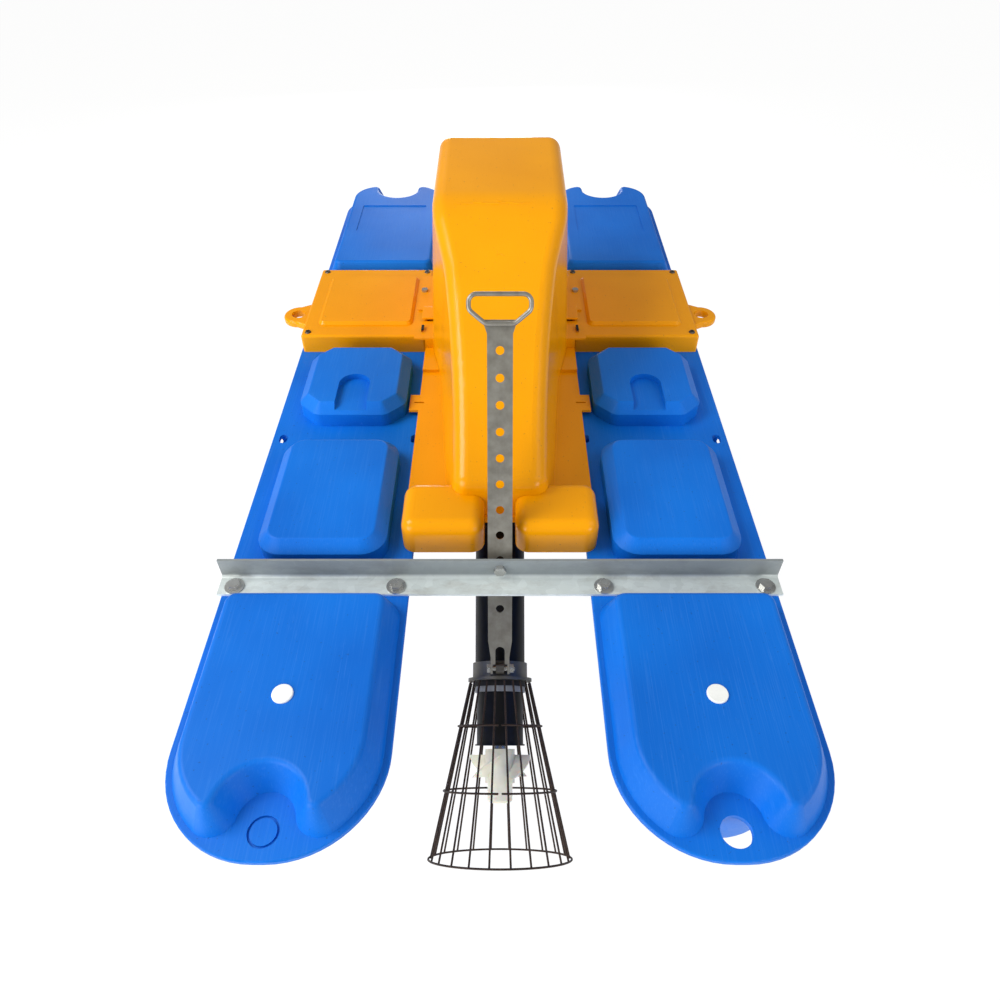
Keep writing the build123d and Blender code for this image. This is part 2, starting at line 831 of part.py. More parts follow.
with BuildPart() as motor_tray:
    with BuildSketch(Plane.XY.offset(deck_z)):
        with Locations((0, tray_middle_y)):
            Rectangle(2 * tray_half_width, tray_rear_y - tray_front_y)
        with Locations((0, (opening_near_y + opening_far_y) / 2)):
            RectangleRounded(
                2 * tray_opening_half_width,
                opening_far_y - opening_near_y,
                tray_opening_radius,
                mode=Mode.SUBTRACT,
            )
    extrude(amount=tray_thickness)
    add(lobes.part)
    # Raised pads ahead of the cross boxes, beside the hood
    pad_far_y = box_near_y - latch_skirt - assembly_gap
    with BuildSketch(Plane.XY.offset(tray_top_z)):
        with Locations(
            (-tray_half_width + tray_pad_width / 2, pad_far_y - tray_pad_length / 2),
            (tray_half_width - tray_pad_width / 2, pad_far_y - tray_pad_length / 2),
        ):
            Rectangle(tray_pad_width, tray_pad_length)
    extrude(amount=tray_pad_height)
    add(hood_seat, mode=Mode.SUBTRACT)
    # Slit tabs over the deck beside the small blocks
    tab_y = small_block_near_y + tray_tab_setback
    with BuildSketch(Plane.XY.offset(tray_top_z)):
        with Locations(
            (-tray_half_width - tray_tab_reach / 2, tab_y),
            (tray_half_width + tray_tab_reach / 2, tab_y),
        ):
            Rectangle(tray_tab_reach, tray_tab_length)
    extrude(amount=-tray_tab_thickness)
    with BuildSketch(Plane.XY.offset(tray_top_z)):
        with Locations((-tray_half_width, tab_y), (tray_half_width, tab_y)):
            SlotOverall(tray_slit_length, tray_slit_width)
    extrude(amount=-tray_thickness, mode=Mode.SUBTRACT)
    # Bolt holes for the pivot brackets
    with BuildSketch(Plane.XY.offset(deck_z)):
        with Locations(*bracket_bolt_places):
            Circle(bracket_bolt_radius + running_clearance)
    extrude(amount=tray_thickness, mode=Mode.SUBTRACT)
keep(motor_tray, "motor_tray")

with BuildPart() as hood:
    add(hood_form)
    # Flat tabs and latch plates that lie on the cross boxes
    tab_middle_x = (hood_tab_inner_x + hood_tab_outer_x) / 2
    tab_reach = hood_tab_outer_x - hood_tab_inner_x
    tab_middle_y = box_near_y + hood_tab_setback
    latch_near_y = box_near_y - latch_skirt
    latch_middle_y = latch_near_y + (latch_length + latch_skirt) / 2
    with BuildSketch(Plane.XY.offset(deck_z + box_height)):
        with Locations((-tab_middle_x, tab_middle_y), (tab_middle_x, tab_middle_y)):
            Rectangle(tab_reach, hood_tab_length)
        with Locations((-tab_middle_x, latch_middle_y), (tab_middle_x, latch_middle_y)):
            Rectangle(tab_reach, latch_length + latch_skirt)
        with Locations(*hood_bolt_places):
            Circle(hood_bolt_radius + bolt_clearance, mode=Mode.SUBTRACT)
        with Locations((-latch_window_x, latch_middle_y), (latch_window_x, latch_middle_y)):
            Rectangle(latch_window_width, latch_window_length, mode=Mode.SUBTRACT)
    extrude(amount=hood_tab_thickness)
    # Skirts that close the boxes' near ends down to the tray
    skirt_reach = tray_half_width - hood_tab_inner_x
    skirt_middle_x = (tray_half_width + hood_tab_inner_x) / 2
    with BuildSketch(Plane.XY.offset(tray_top_z)):
        with Locations(
            (-skirt_middle_x, latch_near_y + (latch_skirt - assembly_gap) / 2),
            (skirt_middle_x, latch_near_y + (latch_skirt - assembly_gap) / 2),
        ):
            Rectangle(skirt_reach, latch_skirt - assembly_gap)
    extrude(amount=box_height - tray_thickness)
    add(hood_space, mode=Mode.SUBTRACT)
keep(hood, "hood")

with BuildPart() as hood_bolts:
    hood_tab_top = deck_z + box_height + hood_tab_thickness
    with BuildSketch(Plane.XY.offset(hood_tab_top)):
        with Locations(*hood_bolt_places):
            RegularPolygon(small_nut_flats / 2, 6, major_radius=False)
    extrude(amount=hood_bolt_head_height)
    with BuildSketch(Plane.XY.offset(hood_tab_top)):
        with Locations(*hood_bolt_places):
            Circle(hood_bolt_radius)
    extrude(amount=-hood_bolt_depth)
keep(hood_bolts, "hood_bolts")


# Pivot brackets on the tray, with flanged bushes for the trunnions


def build_bracket(side, name):
    """Angle bracket whose upright carries one trunnion of the drive unit."""
    eye_outer = trunnion_radius + bush_wall + bracket_eye_wall
    with BuildPart() as bracket:
        with BuildSketch(Plane.YZ.offset(side * bracket_inner_x)):
            with BuildLine():
                foot_near = (pivot_y - bracket_foot_length / 2, tray_top_z)
                foot_far = (pivot_y + bracket_foot_length / 2, tray_top_z)
                eye_near = (pivot_y - eye_outer, pivot_z)
                eye_far = (pivot_y + eye_outer, pivot_z)
                Line(foot_far, foot_near)
                Line(foot_near, eye_near)
                ThreePointArc(eye_near, (pivot_y, pivot_z + eye_outer), eye_far)
                Line(eye_far, foot_far)
            make_face()
            with Locations((pivot_y, pivot_z)):
                Circle(trunnion_radius + bush_wall + running_clearance, mode=Mode.SUBTRACT)
        extrude(amount=side * bracket_thickness)
        with BuildSketch(Plane.XY.offset(tray_top_z)):
            with Locations((side * (bracket_inner_x + bracket_foot_width / 2), pivot_y)):
                Rectangle(bracket_foot_width, bracket_foot_length)
            with Locations(*bracket_bolt_places):
                Circle(bracket_bolt_radius + bolt_clearance, mode=Mode.SUBTRACT)
        extrude(amount=bracket_foot_thickness)
    keep(bracket, name)


build_bracket(-1, "pivot_bracket_left")
build_bracket(1, "pivot_bracket_right")

bush_outer = trunnion_radius + bush_wall
with BuildPart() as pivot_bushes:
    for side in (-1, 1):
        with BuildSketch(Plane.YZ.offset(side * bracket_inner_x)):
            with Locations((pivot_y, pivot_z)):
                Circle(bush_outer)
                Circle(trunnion_radius + running_clearance, mode=Mode.SUBTRACT)
        extrude(amount=side * bracket_thickness)
        with BuildSketch(Plane.YZ.offset(side * bracket_inner_x)):
            with Locations((pivot_y, pivot_z)):
                Circle(bush_outer + bush_wall)
                Circle(trunnion_radius + running_clearance, mode=Mode.SUBTRACT)
        extrude(amount=-side * bush_flange)
keep(pivot_bushes, "pivot_bushes")

with BuildPart() as bracket_bolts:
    foot_top_z = tray_top_z + bracket_foot_thickness
    with BuildSketch(Plane.XY.offset(foot_top_z)):
        with Locations(*bracket_bolt_places):
            RegularPolygon(small_nut_flats / 2, 6, major_radius=False)
    extrude(amount=bracket_bolt_head_height)
    with BuildSketch(Plane.XY.offset(foot_top_z)):
        with Locations(*bracket_bolt_places):
            Circle(bracket_bolt_radius)
    extrude(amount=-bracket_foot_thickness - tray_thickness - bracket_bolt_tail)
keep(bracket_bolts, "bracket_bolts")

with BuildPart() as bracket_nuts:
    with BuildSketch(Plane.XY.offset(deck_z)):
        with Locations(*bracket_bolt_places):
            RegularPolygon(small_nut_flats / 2, 6, major_radius=False)
            Circle(bracket_bolt_radius + running_clearance, mode=Mode.SUBTRACT)
    extrude(amount=-small_nut_height)
keep(bracket_nuts, "bracket_nuts")


# Drive unit: motor, cradle, coupling housing and tube, all on the drive axis


def ring(start, length, outer, inner):
    """Ring about the drive axis, from a distance along it, added to the current part."""
    with BuildSketch(along(start)) as section:
        Circle(outer)
        if inner > 0:
            Circle(inner, mode=Mode.SUBTRACT)
    extrude(section.sketch, amount=length)


def bore(start, length, radius):
    """Round hole about the drive axis, cut from the current part."""
    with BuildSketch(along(start)) as section:
        Circle(radius)
    extrude(section.sketch, amount=length, mode=Mode.SUBTRACT)


motor_inner_radius = motor_radius - motor_wall
bell_end_s = motor_front_s + front_bell_length
shaft_hole_radius = motor_shaft_radius + shaft_hole_clearance
bearing_seat_radius = bearing_outer_radius + running_clearance
rear_bearing_s = motor_rear_s + motor_rear_wall - bearing_width
front_bearing_s = motor_front_s
cradle_front_s = cradle_width / 2
rib_height_middle = motor_radius + motor_rib_height / 2 - 0.5
with BuildPart() as motor_housing:
    ring(motor_rear_s, motor_front_s - motor_rear_s, motor_radius, 0)
    bore(motor_rear_s + motor_rear_wall, motor_front_s - motor_rear_s, motor_inner_radius)
    bore(rear_bearing_s, bearing_width, bearing_seat_radius)
    bore(motor_rear_s, motor_rear_wall, shaft_hole_radius)
    for start, end in (
        (motor_rear_s + fan_cover_overlap + 2, -cradle_front_s - 2),
        (cradle_front_s + 2, motor_front_s - 4),
    ):
        with BuildSketch(along(start)):
            with PolarLocations(rib_height_middle, motor_rib_count, 90 + 30, 300, endpoint=True):
                Rectangle(motor_rib_height + 1, motor_rib_thickness)
        extrude(amount=end - start)
keep(motor_housing, "motor_housing")

with BuildPart() as front_bell:
    ring(motor_front_s, front_bell_length, front_bell_radius, 0)
    bore(motor_front_s, bearing_width, bearing_seat_radius)
    bore(motor_front_s, front_bell_length, shaft_hole_radius)
    fillet(front_bell.edges().filter_by(GeomType.CIRCLE).group_by(SortBy.RADIUS)[-1], 1.5)
keep(front_bell, "front_bell")

stator_s = (motor_front_s + motor_rear_s + motor_rear_wall) / 2 - rotor_core_length / 2
with BuildPart() as stator:
    ring(stator_s, rotor_core_length, motor_inner_radius - running_clearance, rotor_core_radius + 0.8)
keep(stator, "stator")

with BuildPart() as motor_bearings:
    for start in (rear_bearing_s, front_bearing_s):
        ring(start, bearing_width, bearing_outer_radius, motor_shaft_radius + running_clearance)
keep(motor_bearings, "motor_bearings")

fan_cover_rear_s = motor_rear_s - fan_cover_length + fan_cover_overlap
with BuildPart() as fan_cover:
    cover_inner = motor_radius + assembly_gap
    cover_outer = cover_inner + fan_cover_wall
    ring(fan_cover_rear_s, fan_cover_length, cover_outer, 0)
    bore(fan_cover_rear_s + fan_cover_wall, fan_cover_length, cover_inner)
    with BuildSketch(along(fan_cover_rear_s)):
        for radius in (26, 42, 58):
            with PolarLocations(radius, 8):
                SlotOverall(radius * 0.52, 7, rotation=90)
    extrude(amount=fan_cover_wall, mode=Mode.SUBTRACT)
keep(fan_cover, "fan_cover")

with BuildPart() as cradle:
    cradle_inner = motor_radius + assembly_gap
    cradle_outer = cradle_inner + cradle_thickness
    boss_end_x = bracket_inner_x - bush_flange - assembly_gap
    for side in (-1, 1):
        with BuildSketch(Plane.YZ.offset(side * (motor_radius - 2))):
            with Locations((pivot_y, pivot_z)):
                Circle(trunnion_radius + bush_wall + 2)
        extrude(amount=side * (boss_end_x - motor_radius + 2))
        with BuildSketch(Plane.YZ.offset(side * (motor_radius - 2))):
            with Locations((pivot_y, pivot_z)):
                Circle(trunnion_radius)
        extrude(amount=side * (trunnion_end_x - motor_radius + 2))
    ring(-cradle_front_s, cradle_width, cradle_outer, 0)
    bore(-cradle_front_s, cradle_width, cradle_inner)
keep(cradle, "cradle")

# Terminal box on top of the motor, with its lid and an empty cable gland
box_base_height = motor_radius + assembly_gap
box_seat = Plane(
    origin=drive_plane.from_local_coords((0, box_base_height, terminal_box_s)),
    x_dir=(1, 0, 0),
    z_dir=(0, -math.sin(slope), math.cos(slope)),
)
with BuildPart() as terminal_box:
    with BuildSketch(box_seat):
        RectangleRounded(terminal_box_width, terminal_box_length, 6)
    extrude(amount=terminal_box_height)
    with BuildSketch(box_seat.offset(terminal_box_height)):
        RectangleRounded(terminal_box_width - 8, terminal_box_length - 8, 4)
    extrude(amount=-terminal_box_height + 6, mode=Mode.SUBTRACT)
keep(terminal_box, "terminal_box")

with BuildPart() as terminal_lid:
    with BuildSketch(box_seat.offset(terminal_box_height)):
        RectangleRounded(terminal_box_width, terminal_box_length, 6)
    extrude(amount=terminal_lid_thickness)
keep(terminal_lid, "terminal_lid")

with BuildPart() as cable_gland:
    gland_plane = Plane(
        origin=box_seat.from_local_coords((terminal_box_width / 2, 0, terminal_box_height / 2)),
        x_dir=box_seat.z_dir,
        z_dir=(1, 0, 0),
    )
    with BuildSketch(gland_plane):
        RegularPolygon(gland_radius, 6)
        Circle(gland_bore, mode=Mode.SUBTRACT)
    extrude(amount=gland_length / 2)
    with BuildSketch(gland_plane.offset(gland_length / 2)):
        Circle(gland_radius - 1.5)
        Circle(gland_bore, mode=Mode.SUBTRACT)
    extrude(amount=gland_length / 2)
keep(cable_gland, "cable_gland")

# Coupling housing with two hand windows
lantern_end_s = bell_end_s + lantern_length
with BuildPart() as coupling_housing:
    ring(bell_end_s, lantern_length, lantern_radius, 0)
    ring(bell_end_s, lantern_flange_thickness, lantern_flange_radius, 0)
    ring(lantern_end_s - lantern_flange_thickness, lantern_flange_thickness, lantern_flange_radius, 0)
    bore(bell_end_s, lantern_length, lantern_radius - lantern_wall)
    with BuildSketch(along(bell_end_s + lantern_length / 2)):
        Rectangle(lantern_window_width, 4 * lantern_radius)
    extrude(amount=lantern_window_length / 2, both=True, mode=Mode.SUBTRACT)
    with BuildSketch(along(lantern_end_s)):
        with PolarLocations(flange_bolt_circle, flange_bolt_count, 45):
            Circle(flange_bolt_radius + bolt_clearance)
    extrude(amount=-lantern_flange_thickness, mode=Mode.SUBTRACT)
keep(coupling_housing, "coupling_housing")

# Drive tube: flange, gentle taper and a straight end for the collar
tube_s = lantern_end_s
tube_end_s = collar_s + collar_length + collar_rim_thickness
taper_end_s = collar_s - tube_straight_end
with BuildPart() as drive_tube:
    with BuildSketch(along(tube_s)):
        Circle(tube_upper_radius)
    with BuildSketch(along(taper_end_s)):
        Circle(tube_lower_radius)
    loft()
    ring(taper_end_s, tube_end_s - taper_end_s, tube_lower_radius, 0)
    ring(tube_s, tube_flange_thickness, lantern_flange_radius, 0)
    bore(tube_s, tube_end_s - tube_s, tube_lower_radius - tube_wall)
    with BuildSketch(along(tube_s + air_slot_distance)):
        Rectangle(4 * tube_upper_radius, air_slot_width)
        Rectangle(air_slot_width, 4 * tube_upper_radius)
    extrude(amount=air_slot_length, mode=Mode.SUBTRACT)
    with BuildSketch(along(tube_s)):
        with PolarLocations(flange_bolt_circle, flange_bolt_count, 45):
            Circle(flange_bolt_radius + bolt_clearance)
    extrude(amount=tube_flange_thickness, mode=Mode.SUBTRACT)
keep(drive_tube, "drive_tube")

with BuildPart() as flange_bolts:
    bolt_head_s = lantern_end_s - lantern_flange_thickness
    flange_grip = lantern_flange_thickness + tube_flange_thickness
    with BuildSketch(along(bolt_head_s)):
        with PolarLocations(flange_bolt_circle, flange_bolt_count, 45):
            RegularPolygon(flange_nut_flats / 2, 6, major_radius=False)
    extrude(amount=-flange_bolt_head_height)
    with BuildSketch(along(bolt_head_s)):
        with PolarLocations(flange_bolt_circle, flange_bolt_count, 45):
            Circle(flange_bolt_radius)
    extrude(amount=flange_grip + 8)
keep(flange_bolts, "flange_bolts")

with BuildPart() as flange_nuts:
    with BuildSketch(along(lantern_end_s + tube_flange_thickness)):
        with PolarLocations(flange_bolt_circle, flange_bolt_count, 45):
            RegularPolygon(flange_nut_flats / 2, 6, major_radius=False)
            Circle(flange_bolt_radius + running_clearance, mode=Mode.SUBTRACT)
    extrude(amount=flange_bolt_head_height)
keep(flange_nuts, "flange_nuts")

# Collar with the lug for the lifting strap and the rim that carries the guard cage
side_plane = Plane(
    origin=(0, pivot_y, pivot_z),
    x_dir=drive_plane.z_dir,
    z_dir=(-1, 0, 0),
)
collar_inner = tube_lower_radius + running_clearance
collar_outer = collar_inner + collar_thickness
with BuildPart() as collar:
    with BuildSketch(side_plane):
        with Locations((clevis_s, clevis_height)):
            Circle(lug_radius)
        with Locations((clevis_s, (clevis_height + tube_lower_radius) / 2)):
            Rectangle(2 * lug_radius, clevis_height - tube_lower_radius)
        with Locations((clevis_s, clevis_height)):
            Circle(clevis_bolt_radius + running_clearance, mode=Mode.SUBTRACT)
    extrude(amount=lug_half_width, both=True)
    ring(collar_s, collar_length, collar_outer, 0)
    ring(collar_s + collar_length, collar_rim_thickness, collar_rim_radius, 0)
    bore(collar_s, collar_length + collar_rim_thickness, collar_inner)
keep(collar, "collar")

with BuildPart() as seal_ring:
    ring(tube_end_s, seal_ring_length, seal_ring_radius, outlet_radius + running_clearance)
keep(seal_ring, "seal_ring")

spacer_s = tube_end_s + seal_ring_length
with BuildPart() as spacer_ring:
    ring(spacer_s, spacer_ring_length, spacer_ring_radius, outlet_radius + running_clearance)
keep(spacer_ring, "spacer_ring")

# Outlet pipe: its upper end slips into the tube, its lower end has a lip
outlet_s = spacer_s + spacer_ring_length
outlet_end_s = outlet_s + outlet_length
with BuildPart() as outlet_pipe:
    ring(collar_s, outlet_end_s - collar_s, outlet_radius, 0)
    ring(outlet_end_s - outlet_lip, outlet_lip, outlet_radius + outlet_lip, 0)
    bore(collar_s, outlet_end_s - collar_s, outlet_radius - outlet_wall)
keep(outlet_pipe, "outlet_pipe")

with BuildPart() as lower_bearing:
    bush_end_s = outlet_end_s - 6
    ring(
        bush_end_s - lower_bearing_length,
        lower_bearing_length,
        outlet_radius - outlet_wall - running_clearance,
        drive_shaft_radius + running_clearance,
    )
    with BuildSketch(along(bush_end_s - lower_bearing_length)):
        with PolarLocations((outlet_radius + drive_shaft_radius) / 2 - 1, 6):
            Circle(6)
    extrude(amount=lower_bearing_length, mode=Mode.SUBTRACT)
keep(lower_bearing, "lower_bearing")

# Clevis bolt and nut through the strap's ears and the lug
clevis_plane = Plane(
    origin=side_plane.from_local_coords((clevis_s, clevis_height, 0)),
    x_dir=(0, 1, 0),
    z_dir=(1, 0, 0),
)
ear_outer_x = strap_neck_width / 2
with BuildPart() as clevis_bolt:
    with BuildSketch(clevis_plane.offset(-ear_outer_x - assembly_gap)):
        RegularPolygon(small_nut_flats / 2, 6, major_radius=False)
    extrude(amount=-clevis_head_height)
    with BuildSketch(clevis_plane.offset(-ear_outer_x - assembly_gap)):
        Circle(clevis_bolt_radius)
    extrude(amount=2 * ear_outer_x + 2 * assembly_gap + small_nut_height + 2)
keep(clevis_bolt, "clevis_bolt")

with BuildPart() as clevis_nut:
    with BuildSketch(clevis_plane.offset(ear_outer_x + assembly_gap)):
        RegularPolygon(small_nut_flats / 2, 6, major_radius=False)
        Circle(clevis_bolt_radius + running_clearance, mode=Mode.SUBTRACT)
    extrude(amount=small_nut_height)
keep(clevis_nut, "clevis_nut")


# Rotor: motor shaft with its core, fan, coupling, hollow drive shaft and impeller

shaft_rear_s = fan_cover_rear_s + fan_cover_wall + 6
shaft_joint_s = bell_end_s + lantern_length / 2
with BuildPart() as motor_shaft:
    ring(shaft_rear_s, shaft_joint_s - shaft_rear_s - 1, motor_shaft_radius, 0)
    ring(stator_s, rotor_core_length, rotor_core_radius, 0)
keep(motor_shaft, "motor_shaft")

with BuildPart() as cooling_fan:
    fan_length = motor_rear_s - shaft_rear_s - 4
    ring(shaft_rear_s, fan_length, motor_shaft_radius + 6, 0)
    ring(motor_rear_s - 4 - 3, 3, fan_radius, 0)
    with BuildSketch(along(shaft_rear_s)):
        with PolarLocations((fan_radius + motor_shaft_radius) / 2, fan_blade_count):
            Rectangle(fan_radius - motor_shaft_radius - 4, 2.5)
    extrude(amount=fan_length)
    bore(shaft_rear_s, fan_length, motor_shaft_radius + running_clearance)
keep(cooling_fan, "cooling_fan")

with BuildPart() as shaft_coupling:
    coupling_s = shaft_joint_s - coupling_length / 2
    ring(coupling_s, coupling_length, coupling_radius, 0)
    bore(coupling_s, coupling_length / 2, motor_shaft_radius + running_clearance)
    bore(shaft_joint_s, coupling_length / 2, drive_shaft_radius + running_clearance)
    chamfer(shaft_coupling.edges().filter_by(GeomType.CIRCLE).group_by(SortBy.RADIUS)[-1], 2)
keep(shaft_coupling, "shaft_coupling")

impeller_s = outlet_end_s + impeller_gap
impeller_end_s = impeller_s + impeller_hub_length
with BuildPart() as drive_shaft:
    ring(shaft_joint_s + 1, impeller_end_s - shaft_joint_s - 1, drive_shaft_radius, 0)
    bore(shaft_joint_s + 1, impeller_end_s - shaft_joint_s - 1, air_bore_radius)
keep(drive_shaft, "drive_shaft")

# Impeller: a hub with helical blades, each lofted through turned sections
with BuildPart() as impeller:
    ring(impeller_s, impeller_hub_length, impeller_hub_radius, 0)
    blade_root = impeller_hub_radius - 2
    blade_reach = impeller_tip_radius - blade_root
    blade_s = impeller_s + (impeller_hub_length - impeller_blade_length) / 2
    for blade in range(impeller_blade_count):
        for step in range(impeller_blade_steps + 1):
            share = step / impeller_blade_steps
            turn = blade * 360 / impeller_blade_count + share * impeller_blade_twist
            with BuildSketch(spoke_plane(blade_s + share * impeller_blade_length, turn)):
                with Locations((blade_root + blade_reach / 2, 0)):
                    Rectangle(blade_reach, impeller_blade_thickness)
        loft()
    bore(impeller_s, impeller_hub_length, drive_shaft_radius + running_clearance)
keep(impeller, "impeller")

with BuildPart() as impeller_nose:
    ring(impeller_end_s, nose_length, nose_radius, 0)
    nose_rims = impeller_nose.edges().filter_by(GeomType.CIRCLE)
    fillet(nose_rims.sort_by(Axis.Y)[0], nose_round)
    bore(impeller_end_s, nose_length, air_bore_radius)
keep(impeller_nose, "impeller_nose")


# Guard cage: straight wires in a cone, tied by four rings


def cage_radius(share):
    """Radius of the cage at a share of its length from the collar."""
    return cage_top_radius + share * (cage_mouth_radius - cage_top_radius)


with BuildPart() as guard_cage:
    for share in (0, *cage_ring_shares, 1):
        ring_s = cage_s + share * cage_length
        with BuildSketch(side_plane):
            with Locations((ring_s, cage_radius(share))):
                RegularPolygon(cage_wire_radius, 8)
        revolve(axis=drive_axis)
    for wire in range(cage_wire_count):
        turn = (wire + 0.5) * 360 / cage_wire_count
        around = spoke_plane(cage_s, turn)
        start = around.from_local_coords((cage_top_radius, 0, 0))
        end = around.from_local_coords((cage_mouth_radius, 0, cage_length))
        with BuildSketch(Plane(origin=start, z_dir=end - start)):
            RegularPolygon(cage_wire_radius, 6)
        extrude(amount=(end - start).length)
keep(guard_cage, "guard_cage")


# Lifting strap: a pressed channel with a row of holes, in its own plane at the clevis

strap_plane = Plane(
    origin=(0, clevis_y, clevis_z),
    x_dir=(1, 0, 0),
    z_dir=(0, -math.cos(strap_lean), math.sin(strap_lean)),
)


def strap_outline(inset, bottom, top):
    """Corners of the strap's outline, narrower at the neck, as a closed list of points."""
    wide = strap_width / 2 - inset
    narrow = strap_neck_width / 2 - inset
    right = [(narrow, bottom), (narrow, strap_neck_start), (wide, strap_neck_end), (wide, top)]
    left = [(-x, y) for x, y in reversed(right)]
    return right + left


with BuildPart() as strap:
    with BuildSketch(strap_plane.offset(strap_front_offset)):
        with BuildLine():
            Polyline(*strap_outline(0, -strap_ear_radius, strap_length), close=True)
        make_face()
    extrude(amount=-strap_depth)
    with BuildSketch(strap_plane.offset(strap_front_offset - strap_wall)):
        with BuildLine():
            Polyline(*strap_outline(strap_wall, -2 * strap_ear_radius, strap_length + 1), close=True)
        make_face()
    extrude(amount=-strap_depth, mode=Mode.SUBTRACT)
    # Flared head under the handle
    head_y = strap_length - strap_head_height
    with BuildSketch(strap_plane.offset(strap_front_offset)):
        with BuildLine():
            half = strap_width / 2
            flare = strap_head_width / 2
            Polyline(
                (half, head_y),
                (flare, strap_length),
                (-flare, strap_length),
                (-half, head_y),
                close=True,
            )
        make_face()
    extrude(amount=-strap_wall)
    # Row of holes and the arched notch above the clevis
    with BuildSketch(strap_plane.offset(strap_front_offset)):
        for index in range(strap_hole_count):
            with Locations((0, strap_first_hole + index * strap_hole_pitch)):
                Circle(strap_hole_radius)
        notch_length = strap_notch_top + 2 * strap_ear_radius
        with Locations((0, strap_notch_top - notch_length / 2)):
            SlotOverall(notch_length, strap_notch_width, rotation=90)
        with Locations((0, -strap_ear_radius)):
            Rectangle(strap_neck_width - 2 * strap_wall, 2 * strap_ear_radius + 2 * strap_web_start)
    extrude(amount=-strap_wall, mode=Mode.SUBTRACT)
    # Round ears with the clevis hole
    ear_plane = Plane(origin=strap_plane.origin, x_dir=strap_plane.y_dir, z_dir=(1, 0, 0))
    with BuildSketch(ear_plane.offset(-strap_neck_width)):
        with Locations((-strap_ear_radius, 0)):
            Rectangle(2 * strap_ear_radius, 4 * strap_ear_radius)
        Circle(strap_ear_radius, mode=Mode.SUBTRACT)
    extrude(amount=2 * strap_neck_width, mode=Mode.SUBTRACT)
    with BuildSketch(ear_plane.offset(-strap_neck_width)):
        Circle(clevis_bolt_radius + running_clearance)
    extrude(amount=2 * strap_neck_width, mode=Mode.SUBTRACT)
keep(strap, "strap")

# Handle: a closed loop of round rod, welded to the face of the strap's head
with BuildPart() as strap_handle:
    rod_plane = strap_plane.offset(strap_front_offset + handle_rod_radius + weld_gap)
    with BuildLine(rod_plane) as loop:
        bottom_y = strap_length - handle_overlap
        middle_y = bottom_y + handle_waist_height
        top_y = bottom_y + handle_height
        FilletPolyline(
            (-handle_foot_width / 2, bottom_y),
            (handle_foot_width / 2, bottom_y),
            (handle_width / 2, middle_y),
            (handle_width / 2, top_y),
            (-handle_width / 2, top_y),
            (-handle_width / 2, middle_y),
            radius=handle_corner_radius,
            close=True,
        )
    loop_start = loop.wire() @ 0
    loop_direction = loop.wire() % 0
    with BuildSketch(Plane(origin=loop_start, z_dir=loop_direction)):
        Circle(handle_rod_radius)
    sweep(path=loop.wire())
keep(strap_handle, "strap_handle")
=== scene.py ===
import json
import math
import random
import bmesh
import bpy
from bpy.props import FloatProperty, FloatVectorProperty, IntProperty, PointerProperty
from mathutils import Matrix, Vector


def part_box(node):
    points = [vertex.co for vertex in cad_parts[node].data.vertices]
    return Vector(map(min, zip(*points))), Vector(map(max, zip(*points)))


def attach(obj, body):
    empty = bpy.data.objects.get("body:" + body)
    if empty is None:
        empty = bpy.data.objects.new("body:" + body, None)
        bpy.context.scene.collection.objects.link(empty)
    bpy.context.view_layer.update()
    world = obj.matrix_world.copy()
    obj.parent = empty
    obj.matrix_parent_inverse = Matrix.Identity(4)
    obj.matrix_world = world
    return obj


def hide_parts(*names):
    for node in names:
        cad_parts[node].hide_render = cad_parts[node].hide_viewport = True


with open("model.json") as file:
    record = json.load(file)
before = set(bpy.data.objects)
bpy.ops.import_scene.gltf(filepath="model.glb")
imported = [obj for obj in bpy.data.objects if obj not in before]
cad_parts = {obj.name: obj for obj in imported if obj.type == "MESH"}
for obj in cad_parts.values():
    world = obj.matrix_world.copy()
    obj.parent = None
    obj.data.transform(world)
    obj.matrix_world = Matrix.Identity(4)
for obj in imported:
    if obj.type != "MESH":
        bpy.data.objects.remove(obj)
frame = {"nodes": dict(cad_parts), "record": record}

bl_info = {
    "name": "Jet aerator",
    "version": (1, 0, 0),
    "blender": (4, 5, 0),
    "location": "View3D > Sidebar > Jet aerator",
    "description": "Finishes for a floating jet aerator: moulded floats, hood, steelwork and wire cage",
    "category": "Object",
}

MM = 0.001


# Places read from the frame

def joint_named(name):
    """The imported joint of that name."""
    return next(joint for joint in frame["record"]["behaviour"]["joints"] if joint["name"] == name)


PIVOT = Vector(joint_named("shaft_spin")["pos_m"])
DRIVE_AXIS = Vector(joint_named("shaft_spin")["axis"]).normalized()
DRIVE_UP = Vector((1, 0, 0)).cross(DRIVE_AXIS).normalized()
if DRIVE_UP.z < 0:
    DRIVE_UP = -DRIVE_UP
BLOCK_HEIGHT = 45 * MM
DECK_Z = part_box("float_left")[1][2] - BLOCK_HEIGHT
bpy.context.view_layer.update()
# Surfaces are looked for downwards from here, above the whole object
LOOKOUT_Z = 2.0

# Wire cage. The ties' places are shares of its length, and a bead is measured against the wire
CAGE_LENGTH = 268 * MM
CAGE_TOP_RADIUS = 50 * MM
FIRST_TIE = 0.26
SECOND_TIE = 0.63
BEAD_SHARE = 1.25

# Screws of the cross boxes. The taper is the head's top radius against its bottom one
SCREW_HEAD_HEIGHT = 3 * MM
SCREW_HEAD_TAPER = 0.78
SCREW_SHANK_RADIUS = 4 * MM
SCREW_SOCKET_RADIUS = 3 * MM
SCREW_SOCKET_DEPTH = 1.8 * MM

